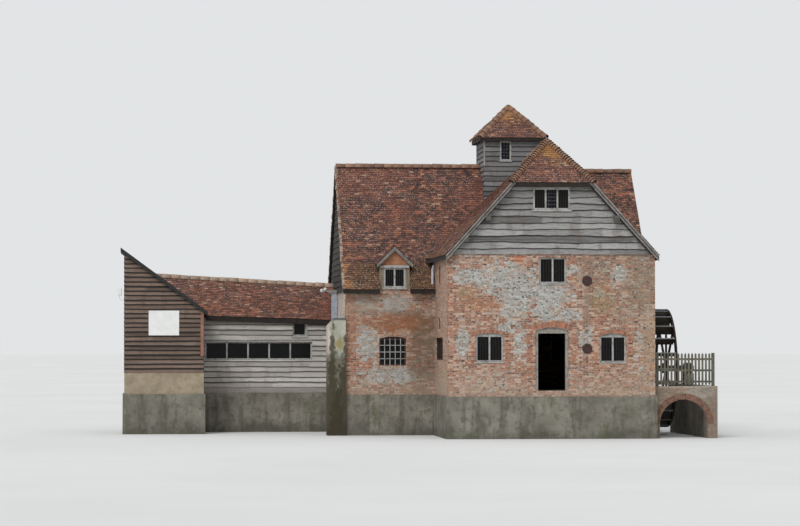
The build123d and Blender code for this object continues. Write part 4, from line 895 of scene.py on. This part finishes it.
joinery_material = timber_finish("grey_joinery", (142, 140, 136), (177, 176, 172), (106, 100, 94), 0.6, 0.78)
door_material = timber_finish("door_timber", (128, 122, 114), (160, 155, 146), (94, 86, 78), 0.5)
dark_material = timber_finish("bar_timber", (36, 27, 23), (62, 47, 40), (28, 22, 20), 0.4)
barge_material = timber_finish("barge_dark", (70, 66, 62), (108, 103, 97), (62, 56, 50), 0.5)
strip_material = timber_finish("barge_strip", (124, 121, 116), (164, 161, 156), (104, 98, 92), 0.5)
# The panes are painted near black for the shade of the unlit rooms behind them, with a faint gloss.
glazing = Finish("glass_painted_dark_room")
glazing.ground(glazing.cloud(2.5, shift=4), (4, 4, 5), (14, 15, 17))
glass_material = glazing.lay(0.2, glazing.cloud(3), 0.002, 0.4)
glazing.feed(glazing.surface, "Specular IOR Level", 0.15)
dress([n for n in nodes if n.startswith("window")], joinery_material)
dress(("door_frame",), door_material)
dress(("window_lattice",), dark_material)
dress(("barge_boards", "purlin_ends"), barge_material)
dress(("glass_panes",), glass_material)

dormer = Finish("dormer_plaster")
x, y, z = dormer.axes()
patchy, grain = dormer.cloud(5, shift=4, detail=9), dormer.cloud(20, (1, 1, 0.12), shift=7)
above = dormer.mix(patchy, (138, 92, 66), (172, 124, 92))
dormer.ground(grain, (104, 92, 78), (140, 128, 112))
dormer.coat(dormer.step(z, 6.25, 6.27), above)
dormer.coat(dormer.step(y, 4.6, 4.65), (96, 84, 74))
dress(("dormer_walls",), dormer.lay(0.9, patchy + grain, 0.005))

CORNERS = np.array([[0, 0, 0], [1, 0, 0], [1, 1, 0], [0, 1, 0], [0, 0, 1], [1, 0, 1], [1, 1, 1], [0, 1, 1]])


def bars(name, pairs, material, width=0.003):
    """Square-cut bars with softened edges, from pairs of low and high corners or of arrays of them."""
    lows, highs = (np.concatenate([np.atleast_2d(pair[i]) for pair in pairs]) for i in (0, 1))
    points = np.where(CORNERS[None], highs[:, None], lows[:, None])
    faces = block_faces(len(lows)).reshape(-1, 4).tolist()
    soften = surface(name, points, faces, "building", "joinery", material).modifiers.new("soften", "BEVEL")
    soften.width, soften.segments = width, 1


FRAME, BAR = 0.06, 0.013


def upright_bars(hole, y, lights, count=3):
    """Evenly spaced upright bars in each light of a window."""
    step = (hole[1] - hole[0] - FRAME) / lights
    share = (np.arange(count) + 1) / (count + 1)
    x = (hole[0] + FRAME + np.arange(lights)[:, None] * step + share * (step - FRAME)).ravel()
    lows = np.stack([x - BAR / 2, np.full_like(x, y), np.full_like(x, hole[2] + 0.05)], 1)
    return lows, lows + np.array([BAR, BAR, hole[3] - hole[2] - 0.1])


GROUND_LEFT, GROUND_RIGHT = (0.99, 1.97, 2.72, 3.67), (5.41, 6.36, 2.7, 3.65)
FIRST, DORMER = (3.25, 4.22, 5.5, 6.42), (-1.89, -1.09, 5.43, 6.16)
sets = [
    upright_bars(hole, y, 2) for y in (0.07, 12.2) for hole in (GROUND_LEFT, GROUND_RIGHT, FIRST)
] + [upright_bars(GABLE_WINDOW, y, 3) for y in (-0.005, 12.26)] + [upright_bars(DORMER, 4.515, 2)]
bars("window_bars", sets, dark_material)


def lattice(hole, y, columns, rows, thick):
    """A grid of thin bars over one light."""
    x = np.linspace(hole[0], hole[1], columns + 1)[1:-1]
    z = np.linspace(hole[2], hole[3], rows + 1)[1:-1]
    up = np.stack([x - thick / 2, 0 * x + y, 0 * x + hole[2]], 1)
    flat = np.stack([0 * z + hole[0], 0 * z + y, z - thick / 2], 1)
    tall, wide = (thick, thick, hole[3] - hole[2]), (hole[1] - hole[0], thick, thick)
    return np.concatenate([up, flat]), np.concatenate([up + tall, flat + wide])


bars("glazing_bars", [lattice((-2.05, -1.07, 2.57, 3.555), 4.54, 5, 4, 0.027)], joinery_material)
leads = [
    lattice((3.50, 3.88, 8.17, 8.82), -0.002, 4, 5, 0.009), lattice((2.82, 3.14, 10.37, 11.0), 7.24, 3, 5, 0.006),
]
lead_material = timber_finish("lead_cames", (92, 99, 108), (126, 134, 143), (70, 75, 80), 0.4)
bars("lead_cames", leads, lead_material, 0.001)

# Sills and casings: plain boards nailed round the openings, their edges softened by weather.
bars("sills_and_casings", [
    ((2.98, -0.085, 8.05), (4.4, -0.02, 8.11)), ((3.0, -0.068, 8.88), (4.38, -0.02, 8.91)),
    ((0.96, -0.03, 2.68), (2.0, 0.1, 2.72)), ((5.38, -0.03, 2.66), (6.39, 0.1, 2.7)),
    ((3.22, -0.03, 5.45), (4.25, 0.1, 5.5)), ((2.73, 7.17, 10.27), (3.23, 7.225, 10.31)),
    ((-1.95, 4.44, 5.37), (-1.03, 4.55, 5.43)), ((-2.03, 4.43, 6.16), (-0.95, 4.5, 6.25)),
    ((-4.47, 9.05, 3.62), (-4.42, 9.1, 4.22)), ((-5.04, 9.04, 3.6), (-4.42, 9.1, 3.66)),
], joinery_material, 0.006)
bars("rear_casings", [
    ((2.98, 12.32, 8.05), (4.4, 12.385, 8.11)), ((3.0, 12.32, 8.88), (4.38, 12.368, 8.91)),
    ((2.73, 9.575, 10.27), (3.23, 9.63, 10.31)),
], joinery_material, 0.006)


# Barge boards carry a pale moulding along their top and another along their lower edge.
def raking_strips(name, runs):
    """A strip lies between two drops below a rafter line, given by its ends, and between two depths."""
    corners = np.array([[
        (x, y, z - drop)
        for drop in (low, high) for x, z, y in ((x0, z0, y0), (x1, z1, y0), (x1, z1, y1), (x0, z0, y1))
    ] for x0, z0, x1, z1, high, low, y0, y1 in runs], float)
    mirror = corners[:, 1, 0] < corners[:, 0, 0]
    faces = block_faces(len(runs))
    faces[mirror] = faces[mirror][..., ::-1]
    surface(name, corners.reshape(-1, 3), faces.reshape(-1, 4).tolist(), "building", "joinery", strip_material)


strips = []
for half, ridge, ys in ((WING_HALF, WING_RIDGE, (-0.297, -0.284)), (BACK_HALF, BACK_RIDGE, (12.584, 12.597))):
    near = (ridge - HALF_HIP) * half / (ridge - WING_EAVE)
    for side in (-1, 1):
        run = (WING_MID + side * half, WING_EAVE, WING_MID + side * near, HALF_HIP)
        strips += [(*run, -0.004, 0.05, *ys), (*run, 0.16, 0.2, *ys)]
for side in (-1, 1):
    run = (DORMER_MID + side * DORMER_HALF, DORMER_EAVE, DORMER_MID, DORMER_TOP)
    strips += [(*run, -0.002, 0.05, 4.333, 4.346), (*run, 0.085, 0.12, 4.333, 4.346)]
raking_strips("barge_mouldings", strips)

# IRONWORK AND WATERWHEEL
# Cast and wrought iron, black once and now a dark even rust, with elm floats that stay wet.
# The wheel turns in bearings on the wall and the outer pier; the discs end tie rods through the wing.


def iron_finish(name, dark, pale):
    """Rust in flakes from a dark paint to a pale one, which is rougher and less metallic."""
    rust = Finish(name)
    flake = rust.cloud(18, shift=3, detail=8, rough=0.7)
    rust.ground(flake, dark, pale)
    rust.feed(rust.surface, "Metallic", 0.35 - flake * 0.25)
    return rust.lay(0.72 + flake * 0.2, flake, 0.003)


disc_material = iron_finish("rusted_discs", (44, 33, 31), (80, 58, 52))
iron_material = iron_finish("black_iron", (26, 22, 21), (62, 48, 42))
dress(("wall_ties",), disc_material)
dress(("window_grille", "wheel_rims", "wheel_arms", "wheel_shaft", "bearing_wall", "bearing_pier"), iron_material)

SHAFT, FLOAT_TIP_HIGHLIGHT = (0, 5.0, 2.46), (2.17, 2.19)
floats = Finish("wet_elm")
grain, slime = floats.cloud(16, (0.12, 1, 1), shift=2, detail=8), floats.cloud(2, shift=6)
floats.ground(grain, (30, 26, 22), (76, 68, 56))
floats.coat(floats.step(slime, 0.5, 0.9) * 0.4, (58, 64, 38))
# Painted highlight: a pale grey band on the outer tips of the floats for their wet sheen.
rim = floats.away(floats.place, SHAFT, (0, 1, 1))
floats.coat(floats.step(rim, *FLOAT_TIP_HIGHLIGHT) * 0.85, (150, 153, 156))
dress(("wheel_floats",), floats.lay(0.6 + grain * 0.25, grain, 0.004))

# FLOORS, FENCE, SHED ROOF, SIGN BOARD AND DOWNPIPE
# Oak floors inside, a silvered picket fence on the race arch, black felt on the shed.
# The sign board is painted white and bare, and a lead pipe comes down from the valley of the roofs.

oak_material = timber_finish("old_oak", (82, 74, 62), (136, 128, 112), (62, 56, 48), 0.4)
fence_material = timber_finish("fence_oak", (70, 67, 58), (116, 112, 98), (60, 58, 46), 0.5)
dress(("ground_floor", "first_floor", "attic_floor", "tower_floor", "annex_floor"), oak_material)
dress(("race_fence",), fence_material)


def plain_finish(name, scale, dark, pale, roughness, depth, shift=4, detail=6.0):
    """One noise between two paints, which also raises the surface by that depth in metres."""
    paint = Finish(name)
    grain = paint.cloud(scale, shift=shift, detail=detail)
    paint.ground(grain, dark, pale)
    return paint.lay(roughness, grain, depth)


dress(("shed_roof",), plain_finish("black_felt", 40, (24, 24, 25), (50, 49, 49), 0.88, 0.002, detail=8))
dress(("sign_board",), plain_finish("white_board", 4, (216, 216, 214), (232, 232, 230), 0.6, 0.001, detail=8))


def pipe(name, route, radius, material, sides=12):
    """A round pipe: a ring of points carried along straight runs, square to the run it starts."""
    route = np.array(route, float)
    run = np.diff(route, axis=0, append=2 * route[-1:] - route[-2:-1])
    run = run / np.linalg.norm(run, axis=1)[:, None]
    side = np.cross(run, [0.3, 1.0, 0.1])
    side = side / np.linalg.norm(side, axis=1)[:, None]
    other = np.cross(run, side)
    angle = np.linspace(0, 2 * math.pi, sides, endpoint=False)[None, :, None]
    rings = route[:, None] + radius * (np.cos(angle) * side[:, None] + np.sin(angle) * other[:, None])
    index = np.arange(len(route) * sides).reshape(-1, sides)
    faces = quads(np.concatenate([index, index[:, :1]], 1)).reshape(-1, 4).tolist()
    faces += [index[0, ::-1].tolist(), index[-1].tolist()]
    surface(name, rings.reshape(-1, 3), faces, "building", "joinery", material)


downpipe_material = plain_finish("painted_lead", 12, (168, 172, 178), (206, 210, 214), 0.6, 0.002, shift=9)
downpipe_route = [(-0.06, 4.3, 6.25), (-0.1, 4.36, 6.1), (-0.1, 4.38, 5.3), (-0.1, 4.36, 5.2)]
pipe("valley_downpipe", downpipe_route, 0.045, downpipe_material)

# Corner boards of the tower and the shed, and a boxed pipe where the low range meets the main wall.
CORNER_BOARD = 0.026
bars("tower_corner_boards", [
    ((x - CORNER_BOARD, y - CORNER_BOARD, 10.1), (x + CORNER_BOARD, y + CORNER_BOARD, 11.1))
    for x in TOWER_X for y in TOWER_Y
], strip_material, 0.004)
post_material = timber_finish("red_oxide_paint", (124, 84, 70), (158, 112, 94), (96, 72, 62), 0.5)
bars("shed_corner_post", [((-8.57, 6.55, 2.9), (-8.45, 6.6, 4.6))], post_material, 0.006)
box_material = timber_finish("pale_blue_paint", (138, 146, 158), (172, 180, 190), (116, 120, 126), 0.4)
bars("boxed_pipe", [((-3.53, 8.72, 3.98), (-3.31, 8.92, 5.28))], box_material, 0.006)
bars("plate_end", [((-3.62, 8.7, 5.28), (-3.3, 8.95, 5.42))], strip_material, 0.01)

# OUTSIDE LAMPS
# Small weatherproof lamps of pressed metal, painted white, screwed to the walls on bent arms.
# Two bowls share an arm over the boxed pipe, and a square one hangs at the shed's front corner.

lamp_material = plain_finish("white_enamel", 30, (206, 206, 204), (230, 230, 228), 0.5, 0.001)
BOWL_RADIUS, BOWL_DEEP, ARM = 0.07, 0.11, 0.014
turns = np.linspace(0, 2 * math.pi, 14, endpoint=False)
share, around = np.meshgrid(np.linspace(0.06, 1, 5), turns, indexing="ij")
spread = BOWL_RADIUS * np.sqrt(share)
bowl = np.stack([spread * np.cos(around), share * -BOWL_DEEP, spread * np.sin(around)], -1)
heads = np.array([[-3.9, 8.86, 5.4], [-3.77, 8.86, 5.45]])[:, None, None] + bowl
index = np.arange(heads[..., 0].size).reshape(heads.shape[:3])
faces = quads(np.concatenate([index, index[..., :1]], -1).swapaxes(1, 2)).reshape(-1, 4).tolist()
faces += index[:, -1, ::-1].tolist() + index[:, 0].tolist()
surface("twin_lamps", heads, faces, "building", "joinery", lamp_material, True)
twin_route = [(-3.9, 8.87, 5.4), (-3.84, 8.9, 5.36), (-3.77, 8.9, 5.4), (-3.6, 8.9, 5.36)]
pipe("twin_lamp_arm", twin_route, ARM, lamp_material)
bars("shed_lamp", [((-11.66, 6.62, 5.15), (-11.5, 6.76, 5.46))], lamp_material, 0.02)
shed_route = [(-11.58, 6.69, 5.17), (-11.58, 6.69, 5.06), (-11.54, 6.69, 5.0), (-11.4, 6.69, 4.98)]
pipe("shed_lamp_arm", shed_route, ARM, lamp_material)

# STAGE, LIGHT AND CAMERA
# A plain pale floor, soft even light, and the camera far back and low as in the photograph.
# Camera rays and reflections see a plain backdrop, and the world's soft light falls on the rest.

FLOOR_HALF = 900
floor_paint = Finish("pale_floor")
floor_paint.ground(floor_paint.cloud(0.05), (214, 214, 212), (222, 222, 220))
floor_material = floor_paint.lay(0.95, floor_paint.cloud(2), 0.001)
mesh = bpy.data.meshes.new("floor")
corners = [(x * FLOOR_HALF, y * FLOOR_HALF, 0) for x, y in ((-1, -1), (1, -1), (1, 1), (-1, 1))]
mesh.from_pydata(corners, [], [(0, 1, 2, 3)])
mesh.materials.append(floor_material)
floor = bpy.data.objects.new("floor", mesh)
bpy.context.scene.collection.objects.link(floor)

world = bpy.data.worlds.new("studio")
world.use_nodes = True
bpy.context.scene.world = world
tree = world.node_tree
background = tree.nodes["Background"]
path = tree.nodes.new("ShaderNodeLightPath")
backdrop = tree.nodes.new("ShaderNodeBackground")
pick = tree.nodes.new("ShaderNodeMixShader")
seen = path.outputs["Is Camera Ray"]
for ray in ("Is Glossy Ray", "Is Transmission Ray"):
    either = tree.nodes.new("ShaderNodeMath")
    either.operation = "MAXIMUM"
    tree.links.new(seen, either.inputs[0])
    tree.links.new(path.outputs[ray], either.inputs[1])
    seen = either.outputs[0]
background.inputs["Color"].default_value = (0.95, 0.98, 1.0, 1)
background.inputs["Strength"].default_value = 0.75
backdrop.inputs["Color"].default_value = shade(226, 228, 230)
tree.links.new(seen, pick.inputs[0])
tree.links.new(background.outputs[0], pick.inputs[1])
tree.links.new(backdrop.outputs[0], pick.inputs[2])
tree.links.new(pick.outputs[0], tree.nodes["World Output"].inputs["Surface"])

sun_data = bpy.data.lights.new("soft_sun", "SUN")
sun_data.energy, sun_data.angle = 1.5, math.radians(25)
sun = bpy.data.objects.new("soft_sun", sun_data)
sun.rotation_euler = (math.radians(48), 0, math.radians(-28))
bpy.context.scene.collection.objects.link(sun)

SENSOR, FOCAL_PIXELS, IMAGE_WIDE = 36, 2850, 800
EYE, TILT, TURN = (-10.824, -100, TERRACE + 1.62), 90 + 1.648, -5.2126
camera_data = bpy.data.cameras.new("camera")
camera_data.sensor_width, camera_data.lens = SENSOR, SENSOR * FOCAL_PIXELS / IMAGE_WIDE
camera_data.clip_end = 2000
camera = bpy.data.objects.new("camera", camera_data)
camera.location = EYE
camera.rotation_euler = (math.radians(TILT), 0, math.radians(TURN))
bpy.context.scene.collection.objects.link(camera)
bpy.context.scene.camera = camera
bpy.context.scene.view_settings.view_transform = "Standard"
